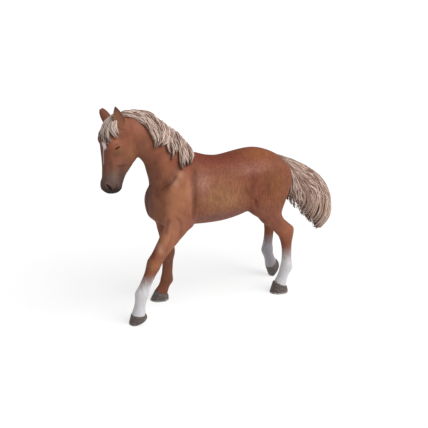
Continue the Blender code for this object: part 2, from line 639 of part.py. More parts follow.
# ------------------------------------------------------------------ hooves
ground = slab((0, 50, -5), (1, 0, 0), (0, 1, 0), 40, 90, 10)
for foot, (x, front, back, toe, heel, top, bottom) in HOOVES.items():
    rows = []
    for fall, widest, heel_round in ((0, .46, 2.0), (0.5, .42, 2.4), (1, .42, 2.4)):
        a = np.array(front) * (1 - fall) + np.array(toe) * fall
        b = np.array(back) * (1 - fall) + np.array(heel) * fall
        rows.append((tuple(a), tuple(b), x, top + (bottom - top) * fall, widest, 2.0, heel_round))
    hoof = mesh_of("hoof", [loft(rows, around=18, along=1)])
    finished("hoof_" + foot, less(hoof, ground), HORN)
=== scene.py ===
# %% [markdown]
# # A painted toy horse
#
# The real thing is a solid vinyl figure, 143 mm long, of a chestnut horse walking with its
# head down. A steel mould gives it one skin with shallow muscles, a mane and a tail cut as
# locks, and hooves. Painters then spray the coat in soft patches, brush the stockings on,
# and rub pale paint over the ridges of the hair.
#
# This notebook builds the figure in the same order: the skin first, then what is carved
# into it, then hooves, eyes, ears and hair, and the paint last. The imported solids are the
# frame: they say how big the horse is and where it stands, and each new piece replaces
# the solids that it stands for.

# %% Load the frame
import json

import bmesh
import bpy
import numpy as np
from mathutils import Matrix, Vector
from mathutils.bvhtree import BVHTree

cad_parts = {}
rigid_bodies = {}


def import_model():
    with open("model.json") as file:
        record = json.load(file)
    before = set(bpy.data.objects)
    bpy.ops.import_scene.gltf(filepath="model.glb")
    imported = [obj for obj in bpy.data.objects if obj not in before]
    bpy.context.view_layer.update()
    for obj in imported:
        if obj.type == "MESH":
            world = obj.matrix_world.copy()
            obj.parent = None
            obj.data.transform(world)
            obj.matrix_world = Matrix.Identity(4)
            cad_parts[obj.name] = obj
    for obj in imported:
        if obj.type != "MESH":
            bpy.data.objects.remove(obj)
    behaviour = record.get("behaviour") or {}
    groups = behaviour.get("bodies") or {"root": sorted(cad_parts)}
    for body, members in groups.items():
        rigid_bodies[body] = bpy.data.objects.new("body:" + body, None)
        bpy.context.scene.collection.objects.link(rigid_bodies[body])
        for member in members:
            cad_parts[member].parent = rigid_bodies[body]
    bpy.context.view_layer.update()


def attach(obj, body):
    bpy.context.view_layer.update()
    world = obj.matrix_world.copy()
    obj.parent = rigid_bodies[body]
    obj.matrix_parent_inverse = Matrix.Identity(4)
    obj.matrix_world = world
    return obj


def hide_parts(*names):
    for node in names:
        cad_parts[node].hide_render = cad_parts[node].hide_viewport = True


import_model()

# %% [markdown]
# ## One part
#
# A horse is drawn in proportions, so every size below is in parts: the withers, the top
# of the shoulders, stand 100 parts above the floor. One part is 0.88 mm. The horse faces
# -Y, its left side is +X, and the origin lies under the middle of its box.

# %% Parts and metres
WITHERS = 0.088
PART = WITHERS / 100
MIDDLE = np.array([0.0, 56.7, 0.0])
SIDES = (("left", 1), ("right", -1))


def metres(points):
    """Points in parts, as metres round the figure's middle: (point - middle) x part."""
    return (np.asarray(points) - MIDDLE) * PART


def parts(points):
    """The way back: metres / part + middle."""
    return np.asarray(points) / PART + MIDDLE


print(f"one part is {PART * 1000:.2f} mm")

# %% [markdown]
# ## The forms of the body
#
# A sculptor builds a horse from a few masses: barrel, neck, head, two shoulders, two
# thighs, four legs. Each mass here is a loft, which is a stack of closed outlines. One
# outline is made of two half ovals that meet at the widest place, so that a chest can be
# broad below and narrow above. A row holds the front or top edge, the back or under edge,
# the place to the side, the half width, where the widest place lies, and how square each
# half is: 2 is an ellipse, more is squarer, less is sharper.

# %% The masses of the trunk, neck and head
TRUNK = [
    ((3.2, 74), (3.2, 71), 0, 1.5, .50, 2.0, 2.0),          # breast
    ((3.6, 78), (3.4, 66), 0, 4.5, .50, 2.0, 2.0),
    ((5.8, 82), (5.8, 61.5), 0, 8.0, .50, 2.0, 2.1),
    ((11, 89), (10.8, 58), 0, 11.2, .50, 1.9, 2.2),         # shoulders
    ((20, 98), (22, 55.5), 0, 14.5, .48, 1.7, 2.2),
    ((32, 100.2), (32, 54.5), 0, 16.0, .45, 1.6, 2.2),      # withers and girth
    ((43, 96.8), (43, 53.8), 0, 17.8, .48, 1.9, 2.1),
    ((52, 95.3), (52, 54.0), 0, 18.3, .50, 2.1, 2.1),       # barrel
    ((60, 96.2), (60, 54.9), 0, 17.6, .52, 2.1, 2.1),
    ((68, 97.5), (68, 56.8), 0, 16.6, .52, 2.0, 2.1),       # loin and flank
    ((76, 97.8), (76, 61.4), 0, 15.8, .52, 1.9, 2.1),       # croup
    ((84, 95.8), (86, 66.0), 0, 14.0, .55, 1.8, 2.1),
    ((91, 92.6), (93, 68.0), 0, 10.5, .60, 1.8, 2.0),
    ((96, 89.0), (97, 73.0), 0, 6.0, .65, 1.9, 2.0),
    ((98, 86.0), (98.5, 79.0), 0, 2.5, .50, 2.0, 2.0),      # dock
]
NECK = [                        # crest, underline
    ((36, 96), (24, 62), 0, 10.0, .44, 1.5, 1.8),
    ((30, 100.2), (12, 67), 0, 10.4, .45, 1.5, 1.6),
    ((24.5, 105.8), (5.6, 76.5), 0, 9.2, .47, 1.5, 1.5),
    ((19.0, 111.2), (5.0, 84.5), 0, 8.7, .46, 1.55, 1.65),
    ((12.8, 116.8), (3.6, 90.2), 0, 7.7, .48, 1.6, 1.7),
    ((5.5, 121.8), (2.2, 95.8), 0, 6.9, .52, 1.7, 1.8),
    ((-2, 124.6), (-0.8, 99.8), 0, 6.3, .58, 1.8, 1.9),
    ((-8, 125.4), (-5.4, 103.4), 0, 6.0, .60, 1.9, 2.0),
    ((-13, 124.5), (-11.0, 107.0), 0, 5.0, .60, 2.0, 2.0),  # poll
]
HEAD = [                        # line of the face, line of the jaw
    ((-11.5, 126.6), (-6.5, 124.0), 0, 2.5, .50, 2.0, 2.0),
    ((-16.2, 125.4), (-3.5, 117.0), 0, 5.6, .55, 2.2, 2.0),
    ((-19.3, 121.5), (-2.8, 111.0), 0, 7.0, .64, 2.5, 2.0),
    ((-21.2, 116.0), (-2.6, 105.5), 0, 8.5, .71, 3.1, 2.0), # forehead
    ((-22.4, 110.8), (-2.4, 100.2), 0, 9.2, .75, 3.6, 2.1), # eyes and jowl
    ((-22.8, 105.0), (-4.0, 96.8), 0, 7.6, .70, 3.0, 2.2),
    ((-23.0, 100.0), (-6.2, 95.3), 0, 6.1, .64, 2.6, 2.2),
    ((-23.3, 95.0), (-9.0, 92.4), 0, 5.1, .60, 2.4, 2.2),
    ((-23.9, 90.0), (-10.9, 88.6), 0, 4.8, .58, 2.3, 2.2),
    ((-25.1, 87.0), (-11.9, 86.0), 0, 5.0, .56, 2.3, 2.2),  # nostrils
    ((-24.2, 83.7), (-12.8, 83.4), 0, 4.7, .50, 2.2, 2.2),
    ((-21.6, 81.6), (-14.8, 81.6), 0, 3.3, .50, 2.0, 2.0),  # lips
]
SHOULDER = [                    # the left one; the right one is its mirror image
    ((21, 96), (30, 95), 4.5, 2.5, .50, 2.0, 2.0),
    ((15, 90), (32, 88), 7.5, 5.0, .50, 2.0, 2.0),
    ((10.6, 81), (32.5, 79), 9.3, 6.2, .50, 2.0, 2.0),
    ((8.4, 72), (32, 70), 10.4, 6.5, .50, 2.0, 2.0),        # point of the shoulder
    ((8.4, 64.5), (29.8, 62.5), 11.5, 6.0, .50, 2.0, 2.0),
    ((9.6, 58.5), (27.2, 57.6), 12.2, 5.0, .50, 2.0, 2.0),  # elbow
    ((12, 55), (23.2, 55), 12.5, 3.4, .50, 2.0, 2.0),
]
THIGH = [
    ((78, 93), (90, 91), 6.0, 3.5, .50, 2.0, 2.0),          # hip
    ((70, 85.5), (96.5, 86), 8.2, 6.4, .50, 2.0, 2.0),
    ((66.5, 77), (98.8, 78.5), 9.6, 7.6, .50, 2.1, 2.0),
    ((65.5, 70), (96.6, 71), 10.8, 7.6, .50, 2.1, 2.0),     # buttock
    ((65.2, 62.5), (93.4, 64.5), 11.8, 6.8, .50, 2.1, 2.0), # stifle
    ((67.6, 58.6), (91.2, 59.5), 12.3, 5.6, .50, 2.0, 2.0),
    ((73.5, 54.6), (90.0, 55.8), 12.5, 4.2, .50, 2.0, 2.0),
    ((79, 51.2), (88, 53), 12.6, 2.6, .50, 2.0, 2.0),
]
print(len(TRUNK), "outlines of the trunk,", len(NECK), "of the neck,", len(HEAD), "of the head")

# %% [markdown]
# ## Shapes as arrays
#
# Each mass is a grid of points: one row for each ring, one column for each place round
# the ring. The whole grid is worked out at once with numpy, and neighbouring points make
# a four-sided face. The curve through the rows is a cubic whose slope at a row is the
# mean of the slopes on both sides, so that one swelling runs smoothly into the next.

# %% A smooth curve
def through(places, rows, at):
    """A smooth curve through rows, which stand at places, read at the places at.

    Between two rows it is the cubic whose slopes at the rows are the mean of the slopes
    on either side, weighted by how near the neighbours are.
    """
    places = np.asarray(places, float)
    rows = np.asarray(rows, float)
    step = np.diff(places)[:, None]
    chord = np.diff(rows, axis=0) / step
    slope = np.vstack([chord[:1], chord[-1:]])
    if len(rows) > 2:
        inner = (chord[:-1] * step[1:] + chord[1:] * step[:-1]) / (step[1:] + step[:-1])
        slope = np.vstack([chord[:1], inner, chord[-1:]])
    k = np.clip(np.searchsorted(places, at, side="right") - 1, 0, len(places) - 2)
    h = step[k]
    t = (np.asarray(at) - places[k])[:, None] / h
    return ((1 + 2 * t) * (1 - t) ** 2 * rows[k] + t * (1 - t) ** 2 * h * slope[k]
            + t * t * (3 - 2 * t) * rows[k + 1] + t * t * (t - 1) * h * slope[k + 1])


print("halfway up the curve 0, 1, 0:", through([0, 1, 2], [[0], [1], [0]], [0.5])[0])


# %% Tubes
def tubes(grids):
    """Closed tubes as (points, quads, triangles) from grids[tube, ring, around].

    A quad joins each point to the next of its ring and to both of the next ring. A fan
    of triangles to the mean of the first ring, and of the last, closes the ends.
    """
    count, rings, around = grids.shape[:3]
    here = np.arange(count * rings * around).reshape(count, rings, around)
    after = np.roll(here, -1, axis=2)
    quads = np.stack([here[:, :-1], after[:, :-1], after[:, 1:], here[:, 1:]], -1)
    poles = here.size + np.arange(2 * count).reshape(2, count, 1) + np.zeros(around, int)
    fans = np.stack([np.stack([poles[0], after[:, 0], here[:, 0]], -1),
                     np.stack([poles[1], here[:, -1], after[:, -1]], -1)])
    points = [grids.reshape(-1, 3), grids[:, 0].mean(1), grids[:, -1].mean(1)]
    return np.concatenate(points), quads.reshape(-1, 4), fans.reshape(-1, 3)


def joined(shapes):
    """Several shapes as one: each one's faces count on from the points before it."""
    start = np.cumsum([0] + [len(points) for points, _, _ in shapes[:-1]])
    return (np.concatenate([points for points, _, _ in shapes]),
            np.concatenate([quads + s for (_, quads, _), s in zip(shapes, start)]),
            np.concatenate([fans + s for (_, _, fans), s in zip(shapes, start)]))


print("a tube of 3 rings of 8 points has", len(tubes(np.zeros((1, 3, 8, 3)))[1]), "quads")


# %% Meshes
def mesh_of(name, shape):
    """A mesh from (points, quads, triangles), with its faces pointing out."""
    points, quads, fans = shape
    corners = np.concatenate([quads.ravel(), fans.ravel()])
    starts = np.concatenate([np.arange(len(quads)) * 4,
                             len(quads) * 4 + np.arange(len(fans)) * 3])
    mesh = bpy.data.meshes.new(name)
    mesh.vertices.add(len(points))
    mesh.vertices.foreach_set("co", points.ravel())
    mesh.loops.add(len(corners))
    mesh.loops.foreach_set("vertex_index", corners)
    mesh.polygons.add(len(starts))
    mesh.polygons.foreach_set("loop_start", starts)
    mesh.update(calc_edges=True)
    work = bmesh.new()
    work.from_mesh(mesh)
    bmesh.ops.recalc_face_normals(work, faces=work.faces)
    work.to_mesh(mesh)
    work.free()
    return mesh


def points_of(mesh):
    """The mesh's points, one row each."""
    points = np.empty(len(mesh.vertices) * 3)
    mesh.vertices.foreach_get("co", points)
    return points.reshape(-1, 3)


def normals_of(mesh):
    """The direction out of the mesh at each of its points."""
    normals = np.empty(len(mesh.vertices) * 3)
    mesh.vertex_normals.foreach_get("vector", normals)
    return normals.reshape(-1, 3)


def put(mesh, points):
    """Moves the mesh's points to the given rows."""
    mesh.vertices.foreach_set("co", points.ravel())
    mesh.update()


# %% Lofts
def loft(sections, side=1, around=32, along=4):
    """A form through sections; each ring is two half superellipses that share one width.

    At the angle a, a ring lies at x + half width x sin(a) to the side and at |cos(a)| of
    the way from the widest place to the front edge, or to the back edge where cos(a) < 0.
    Cosine and sine are first raised to 2 / squareness. The columns of a row are the front
    (y, z), the back (y, z), x, the half width, the widest place and both squarenesses.
    """
    rows = np.array([(*a, *b, side * x, *rest) for a, b, x, *rest in sections])
    middle = np.stack([rows[:, 4], (rows[:, 0] + rows[:, 2]) / 2,
                       (rows[:, 1] + rows[:, 3]) / 2], 1)
    steps = np.maximum(np.linalg.norm(np.diff(middle, axis=0), axis=1), 0.5)
    places = np.concatenate([[0], np.cumsum(steps)])
    count = len(rows)
    at = np.interp(np.linspace(0, count - 1, (count - 1) * along + 1), np.arange(count), places)
    r = through(places, rows, at)[:, None, :]
    turn = np.linspace(0, 2 * np.pi, around, endpoint=False)[None, :]
    c, s = np.cos(turn), np.sin(turn)
    power = 2 / np.where(c > 0, r[..., 7], r[..., 8])
    c = np.sign(c) * np.abs(c) ** power
    s = np.sign(s) * np.abs(s) ** power
    front, back = r[..., 0:2], r[..., 2:4]
    widest = back + (front - back) * r[..., 6:7]
    reach = np.where((c > 0)[..., None], front - widest, back - widest)
    line = widest + np.abs(c)[..., None] * reach
    return np.concatenate([(r[..., 4] + r[..., 5] * s)[..., None], line], -1)


# %% Limbs and balls
BEND = 0.22                     # reach of a joint's bend, as a share of a bone


def limb(joints, sizes, around=20, along=3):
    """A leg round the line through its joints; the rings turn smoothly at each joint.

    A point lies at centre + cos(a) x depth x front + sin(a) x half width x side. Near a
    joint the way of the leg goes from one bone's to the next by m x m x (3 - 2 m).
    """
    joints = np.asarray(joints, float)
    sizes = np.asarray(sizes, float)
    place = np.concatenate([np.linspace(a, b, along, endpoint=False)
                            for a, b in zip(sizes[:-1, 0], sizes[1:, 0])] + [sizes[-1:, 0]])
    size = through(sizes[:, 0], sizes[:, 1:], place)
    bone = np.clip(np.floor(place).astype(int), 0, len(joints) - 2)
    centre = joints[bone] + (place - bone)[:, None] * (joints[bone + 1] - joints[bone])
    ways = np.diff(joints, axis=0)
    ways /= np.linalg.norm(ways, axis=1)[:, None]
    way = ways[bone]
    for j in range(1, len(joints) - 1):
        near = np.abs(place - j) < BEND
        mix = 0.5 + (place[near] - j) / (2 * BEND)
        mix = (mix * mix * (3 - 2 * mix))[:, None]
        way[near] = ways[j - 1] * (1 - mix) + ways[j] * mix
    way /= np.linalg.norm(way, axis=1)[:, None]
    side = np.array([1.0, 0, 0]) - way * way[:, :1]
    side /= np.linalg.norm(side, axis=1)[:, None]
    front = np.cross(side, way)
    front *= np.where(front[:, 1:2] > 0, -1, 1)
    turn = np.linspace(0, 2 * np.pi, around, endpoint=False)[None, :, None]
    c, s = np.cos(turn), np.sin(turn)
    deep = np.where(c > 0, size[:, None, 0:1], size[:, None, 1:2])
    return centre[:, None] + c * deep * front[:, None] + s * size[:, None, 2:3] * side[:, None]


def ball(middle, radii, around=32, rings=20):
    """An ellipsoid with its poles to the sides: the middle plus radii x a unit sphere."""
    turn = np.linspace(0, 2 * np.pi, around, endpoint=False)[None, :]
    pole = 0.06                 # the first ring's angle from the pole
    rise = np.linspace(pole, np.pi - pole, rings)[:, None]
    sphere = np.stack([np.cos(rise) * np.ones_like(turn), np.sin(rise) * np.cos(turn),
                       np.sin(rise) * np.sin(turn)], -1)
    return middle + sphere * radii


print("a ball has", ball((0, 0, 0), (1, 1, 1)).shape[:2], "rings and points round each")

# %% [markdown]
# ## Legs and hooves
#
# A leg is a tube round the line through its joints, as thick in front, behind and to the
# sides as the tendons and bones under the skin need. The knee and the hock are wide and
# bony, the cannons below them slim, and the fetlocks round.

# %% Sizes of the hooves and the legs
# Hooves: x, coronet front, coronet back, toe, heel (each y, z), half width above, below.
# The left fore rests on its toe, the right hind on the tip of its toe.
HOOVES = {
    "fore_left": (10.8, (-13.5, 6.2), (-4.0, 5.0), (-15.3, -0.8), (-4.0, 3.6), 4.6, 5.4),
    "fore_right": (-13.5, (12.6, 6.6), (20.9, 3.0), (8.6, -0.6), (21.0, -0.6), 4.4, 5.6),
    "hind_left": (12.0, (86.4, 7.8), (96.0, 3.4), (83.8, -0.6), (96.3, -0.6), 4.5, 5.6),
    "hind_right": (-12.5, (94.9, 7.7), (103.0, 11.7), (98.4, -1.2), (104.0, 9.8), 4.2, 5.2),
}

# Legs: where the joints stand (x, y, z), and how thick the leg is between them. A place
# of 1.5 lies halfway from joint 1 to joint 2. The sizes are to the front, to the back
# and to either side of the line through the joints. Joint 3 is the coronet, the top of
# the hoof, and joint 4 the middle of the sole.
FORE_JOINTS = {                 # elbow, knee, fetlock
    "left": [(13.0, 19.0, 62), (12.2, 1.6, 37.6), (11.0, -6.4, 18.7)],
    "right": [(-12.5, 20.5, 62), (-13.0, 21.6, 33.6), (-13.4, 20.6, 13.0)],
}
FORE_SIZES = [                  # place, front, back, half width
    (-0.10, 6.0, 6.0, 3.5),
    (0.10, 8.2, 7.6, 5.0),
    (0.35, 7.0, 6.2, 4.8),
    (0.62, 5.4, 5.0, 4.2),
    (0.86, 4.5, 4.3, 3.9),
    (1.00, 4.6, 4.7, 4.1),
    (1.12, 4.1, 4.8, 3.9),
    (1.30, 3.5, 4.1, 3.1),
    (1.60, 3.4, 3.7, 3.0),
    (1.85, 3.7, 3.8, 3.3),
    (2.00, 4.3, 4.4, 3.8),
    (2.30, 3.7, 3.6, 3.4),
    (2.65, 3.6, 3.5, 3.6),
    (3.00, 4.4, 4.0, 4.3),
    (3.40, 4.6, 4.2, 4.5),
]
HIND_JOINTS = {                 # stifle, hock, fetlock
    "left": [(13.0, 78.0, 58.0), (12.0, 94.9, 42.0), (12.0, 95.7, 17.0)],
    "right": [(-13.0, 80.0, 60.0), (-12.4, 97.6, 45.4), (-12.4, 95.2, 20.4)],
}
HIND_SIZES = [
    (-0.05, 6.0, 7.0, 4.0),
    (0.15, 6.6, 8.6, 5.2),
    (0.40, 5.2, 6.6, 4.5),
    (0.65, 5.6, 5.2, 3.8),
    (0.88, 6.0, 5.2, 3.6),
    (1.00, 6.2, 5.6, 4.0),
    (1.12, 5.5, 4.8, 3.8),
    (1.30, 4.1, 3.9, 3.1),
    (1.60, 3.1, 3.6, 2.9),
    (1.85, 3.4, 3.8, 3.2),
    (2.00, 4.1, 4.6, 3.7),
    (2.30, 3.7, 3.6, 3.4),
    (2.65, 3.6, 3.5, 3.6),
    (3.00, 4.4, 3.9, 4.2),
    (3.40, 4.6, 4.1, 4.4),
]
print(len(HOOVES), "hooves;", len(FORE_SIZES), "sizes down a foreleg")

# %% Brow, breast and the ends of the legs
BROW = (6.9, -19.6, 112.2)      # middle of the left brow, and its radii
BROW_RADII = (2.9, 3.5, 3.6)
PECTORAL = (5.0, 13.0, 64.0)    # muscle between the breast and the left foreleg
PECTORAL_RADII = (6.0, 6.0, 6.5)


def hoof_joints(foot):
    """The middle of the coronet and the middle of the sole."""
    x, front, back, toe, heel, *_ = HOOVES[foot]
    return [(x, (front[0] + back[0]) / 2, (front[1] + back[1]) / 2),
            (x, (toe[0] + heel[0]) / 2, (toe[1] + heel[1]) / 2)]


print("the left fore coronet and sole:", hoof_joints("fore_left"))

# %% [markdown]
# ## One skin
#
# In the mould the masses run into each other. A voxel remesh does the same: it fills the
# space inside all of them with small cells and puts one surface round the cells. Its
# cells are 0.7 parts here, six tenths of a millimetre. Then each point moves a little
# towards the mean of its neighbours, many times, which melts the creases between the
# masses. Legs and head melt less, because they would grow thin.

# %% Weld and melt
SKIN_GRAIN = 0.7                # side of a cell
MELT_ROUNDS = 21
MELT, SLIM_MELT = 0.5, 0.12     # share of the way to the neighbours in one round
THROAT = 1                      # y; the head lies in front of it
LEGS = 50                       # z; the slim legs lie below it


def settled(holder):
    """The mesh that the holder's modifiers make, as its own mesh; the holder goes."""
    mesh = bpy.data.meshes.new_from_object(
        holder.evaluated_get(bpy.context.evaluated_depsgraph_get()))
    bpy.data.objects.remove(holder)
    return mesh


def welded(mesh, grain):
    """The shapes in mesh, run together into one skin of cells of the given size."""
    holder = bpy.data.objects.new("work", mesh)
    bpy.context.scene.collection.objects.link(holder)
    remesh = holder.modifiers.new("weld", "REMESH")
    remesh.mode = "VOXEL"
    remesh.voxel_size = grain
    return settled(holder)


def melted(mesh, rounds, weight):
    """Moves each point by its weight towards the mean of its neighbours, some rounds."""
    edges = np.empty(len(mesh.edges) * 2, int)
    mesh.edges.foreach_get("vertices", edges)
    a, b = edges.reshape(-1, 2).T
    points = points_of(mesh)
    count = np.bincount(edges, minlength=len(points))[:, None]
    for _ in range(rounds):
        total = np.stack([np.bincount(a, points[b, i], len(points))
                          + np.bincount(b, points[a, i], len(points)) for i in range(3)], 1)
        points += (total / count - points) * weight[:, None]
    put(mesh, points)


# %% The skin
forms = [loft(TRUNK, around=48), loft(NECK), loft(HEAD)]
for name, side in SIDES:
    forms += [loft(SHOULDER, side), loft(THIGH, side)]
    forms.append(ball(np.array(BROW) * (side, 1, 1), BROW_RADII))
    forms.append(ball(np.array(PECTORAL) * (side, 1, 1), PECTORAL_RADII))
    forms.append(limb(FORE_JOINTS[name] + hoof_joints("fore_" + name), FORE_SIZES))
    forms.append(limb(HIND_JOINTS[name] + hoof_joints("hind_" + name), HIND_SIZES))
masses = joined([tubes(grid[None]) for grid in forms])
skin = welded(mesh_of("masses", masses), SKIN_GRAIN)
at = points_of(skin)
slim = (at[:, 2] < LEGS) | (at[:, 1] < THROAT)
melted(skin, MELT_ROUNDS, np.where(slim, SLIM_MELT, MELT))
print("the skin has", len(skin.polygons), "faces")

# %% [markdown]
# ## Finer cells for the face
#
# The eye is two cells wide, too few for lids. So the faces of the head are split once,
# and those round the eyes and nostrils once more. After each split the new points melt a
# little, because a split face is still flat.

# %% Split the head, then the eyes and the muzzle
EYE_PLACE = np.array([0, -17.1, 110.0])
EYE_REACH = 3.6
BESIDE_NOSE = 6.5               # x; the eyes lie farther out than this
CHIN, MUZZLE_TOP, MUZZLE_BACK, LIPS = 78, 90.5, -14, 1.5
SPLIT_ROUNDS, SPLIT_MELT = 4, 0.35


def split(mesh, chosen):
    """Halves every edge whose two ends are chosen."""
    work = bmesh.new()
    work.from_mesh(mesh)
    edges = [e for e in work.edges if chosen[e.verts[0].index] and chosen[e.verts[1].index]]
    bmesh.ops.subdivide_edges(work, edges=edges, cuts=1, use_grid_fill=True)
    work.to_mesh(mesh)
    work.free()


def on_head(points):
    """True in front of the throat and above the chin."""
    return (points[:, 1] < THROAT) & (points[:, 2] > CHIN)


def on_features(points):
    """True round the eyes, and on the muzzle where the nostrils are."""
    aside = np.abs(points[:, 0])
    eye = np.linalg.norm((points - EYE_PLACE) * (0, 1, 1), axis=1) < EYE_REACH
    muzzle = (points[:, 2] < MUZZLE_TOP) & (points[:, 1] < MUZZLE_BACK) & (aside > LIPS)
    return (eye & (aside > BESIDE_NOSE)) | muzzle


for chosen_by in (on_head, on_features):
    split(skin, chosen_by(points_of(skin)))
    melted(skin, SPLIT_ROUNDS, np.where(chosen_by(points_of(skin)), SPLIT_MELT, 0.0))
print("with the head split it has", len(skin.polygons), "faces")

# %% [markdown]
# ## Carving
#
# What a knife does to wax, a small push along the surface's normal does here. A mark is
# a path drawn on the side or the front of the horse, with a width and a depth. A groove
# is a bell curve pushed in, a ridge is one pushed out, and a fold is the slope of a bell
# curve: one side rises and the other sinks, as where a muscle passes over another.

# %% Marks
SIDE_VIEW, FRONT_VIEW = (1, 2), (0, 2)
MARKS = [   # kind, width, height, path in (y, z)
    # crease behind the shoulder
    ("groove", 1.0, 0.75, [(30.6, 94), (28.8, 87), (27.7, 78), (27.1, 69), (26.8, 60)]),
    # soft hollow along it
    ("groove", 3.4, 0.55, [(31.2, 94), (29.4, 87), (28.3, 78), (27.6, 69), (27.6, 58)]),
    # front edge of the shoulder
    ("groove", 0.9, 0.70, [(7.2, 79.6), (9.8, 82), (12.1, 84.2), (15.0, 87.2), (18, 90.5)]),
    # neck over the shoulder
    ("fold", 2.4, 0.55, [(24, 95), (18.2, 89.6), (12.8, 84.6), (8.2, 79.2), (7.6, 73)]),
    ("ridge", 2.2, 0.30, [(25, 91), (20, 83), (14.5, 75.5)]),  # spine of the shoulder blade
    ("groove", 1.7, 0.35, [(13.5, 72), (19, 67.5), (24.5, 64.5)]),  # under the shoulder
    ("groove", 1.0, 0.50, [(11.2, 66.2), (9.6, 63), (8.4, 59.6), (7.6, 55)]),  # front of the forearm
    ("groove", 1.1, 0.45, [(13.8, 67.4), (16.4, 63.6), (17.2, 58), (16, 51)]),  # between its muscles
    ("groove", 0.9, 0.35, [(12.0, 57), (9.4, 50), (6.4, 43.6)]),  # down its side
    ("groove", 1.0, 0.45, [(67.6, 70.5), (68.6, 67), (69.6, 62.6)]),  # fold of the flank
    ("groove", 2.4, 0.45, [(61, 79), (63.4, 73), (66.4, 67.6)]),  # hollow of the flank
    ("groove", 1.8, 0.35, [(93, 86), (91.8, 77), (89.4, 68), (87.6, 60)]),  # between thigh and buttock
    ("groove", 1.2, 0.30, [(79, 58), (84, 52.5), (88.6, 47.6)]),  # down the gaskin
    ("ridge", 3.6, 0.40, [(68, 94.5), (71, 89), (72.5, 83)]),  # point of the hip
    ("groove", 2.6, 0.35, [(3.4, 99), (6.4, 92), (8.4, 85)]),  # groove of the neck
    ("fold", 3.0, 0.35, [(17, 103), (10, 100), (5.4, 95)]),  # muscle of the neck
    ("ridge", 0.9, 0.35, [(-15.4, 104.6), (-17.6, 100.4), (-19.4, 96.6)]),  # cheekbone
    ("groove", 0.8, 0.50, [(-17.6, 98.9), (-13.8, 98.2), (-9.2, 98.1)]),  # edge of the cheek
    ("groove", 1.3, 0.30, [(-20.6, 105), (-20.8, 98), (-21.4, 91)]),  # side of the nose
    ("groove", 0.55, 0.55, [(-20.8, 83.0), (-18.6, 83.4), (-17.2, 85.4), (-16.7, 88.4)]),  # mouth
    ("groove", 1.0, 0.30, [(-11.2, 121), (-9.8, 114), (-9.0, 107)]),  # behind the jaw
]
FRONT_MARKS = [     # in (x, z), on what faces forwards
    ("groove", 1.8, 0.80, [(0, 81), (0, 73), (0, 64)]),     # middle of the breast
    ("groove", 1.0, 0.35, [(0, 118), (0, 112), (0, 107)]),  # middle of the forehead
    ("groove", 0.5, 0.35, [(0, 86), (0, 84), (0, 81.5)]),   # between the lips
]
MOUNDS = [  # middle, radii, height
    ((13.5, 71, 92.5), (5, 5, 4), 0.55),        # point of the hip
    ((14.5, 25.5, 59), (3, 3.4, 3), 0.45),      # elbow
    ((9.5, 7.6, 71), (5, 5, 5), 0.50),          # point of the shoulder
    ((7.4, -8.6, 104.5), (4, 5.2, 5.4), 0.45),  # cheek
    ((7.8, -13.2, 115.4), (3, 2.2, 2.6), -0.50),    # hollow over the eye
    ((8.4, -18.6, 105.6), (3, 1.9, 1.6), -0.45),    # hollow under the eye
    ((4.6, -14.6, 84.8), (3, 2.0, 2.2), 0.35),      # chin
    ((3.0, -4.6, 97.8), (5, 3.2, 3.0), -1.0),       # back of the jaw
]
PATH_STEPS = 48                 # places on a path that distances are measured from


def beside(points, path, plane, reach):
    """Where points lie beside a smooth path drawn on a plane.

    Returns which points lie within reach, their distance from the path, positive to the
    left of its direction, and how far along it they are, from 0 to 1.
    """
    line = through(np.linspace(0, 1, len(path)), path, np.linspace(0, 1, PATH_STEPS))
    flat = points[:, plane]
    low, high = line.min(0) - reach, line.max(0) + reach
    found = np.where(((flat > low) & (flat < high)).all(1))[0]
    offset = flat[found, None] - line
    gap = np.linalg.norm(offset, axis=2)
    k = gap.argmin(1)
    rows = np.arange(len(found))
    way = np.gradient(line, axis=0)[k]
    turn = way[:, 0] * offset[rows, k, 1] - way[:, 1] * offset[rows, k, 0]
    return found, gap[rows, k] * np.sign(turn), k / (PATH_STEPS - 1)


def bell(x):
    """The bell curve exp(-x squared)."""
    return np.exp(-x * x)


# %% Carve
def carved(points, normals):
    """How far each point moves out for the marks and mounds, in parts.

    With g = gap / width a groove is -depth x bell(g), a ridge depth x bell(g), and a fold
    2.3 x depth x g x bell(g), about depth at its highest. A mark fades over a fifth of
    its path at each end, and where the skin turns away from the side that it is drawn on.
    """
    height = np.zeros(len(points))
    drawn = [(SIDE_VIEW, 0, side, mark) for mark in MARKS for side in (1, -1)]
    drawn += [(FRONT_VIEW, 1, -1, mark) for mark in FRONT_MARKS]
    for plane, axis, side, (kind, width, depth, path) in drawn:
        found, gap, place = beside(points, path, plane, 3 * width)
        ends = np.clip(np.minimum(place, 1 - place) * 5, 0, 1)
        facing = np.clip(normals[found, axis] * side * 2.5 - 0.3, 0, 1)
        if kind == "fold":
            push = 2.3 * depth * gap / width * bell(gap / width)
        else:
            push = depth * bell(gap / width) * (1 if kind == "ridge" else -1)
        height[found] += push * ends * ends * (3 - 2 * ends) * facing
    for middle, radii, push in MOUNDS:
        for side in (1, -1):
            away = (points - np.array(middle) * (side, 1, 1)) / radii
            height += push * np.exp(-(away * away).sum(1))
    return height


at, out = points_of(skin), normals_of(skin)
depth = carved(at, out)
put(skin, at + out * depth[:, None])
print(f"carved {depth.min():.2f} to {depth.max():.2f} parts deep")

# %% [markdown]
# ## Eyes, nostrils and tendons
#
# The eye is nearly shut. Along the slit the skin sinks, so that the dark eye behind it
# shows, and it rises in two soft lids above and below, with a crease over the upper lid.
# The nostril is a comma pushed in between two flared wings. Down each cannon run two
# tendons, one groove on each side.

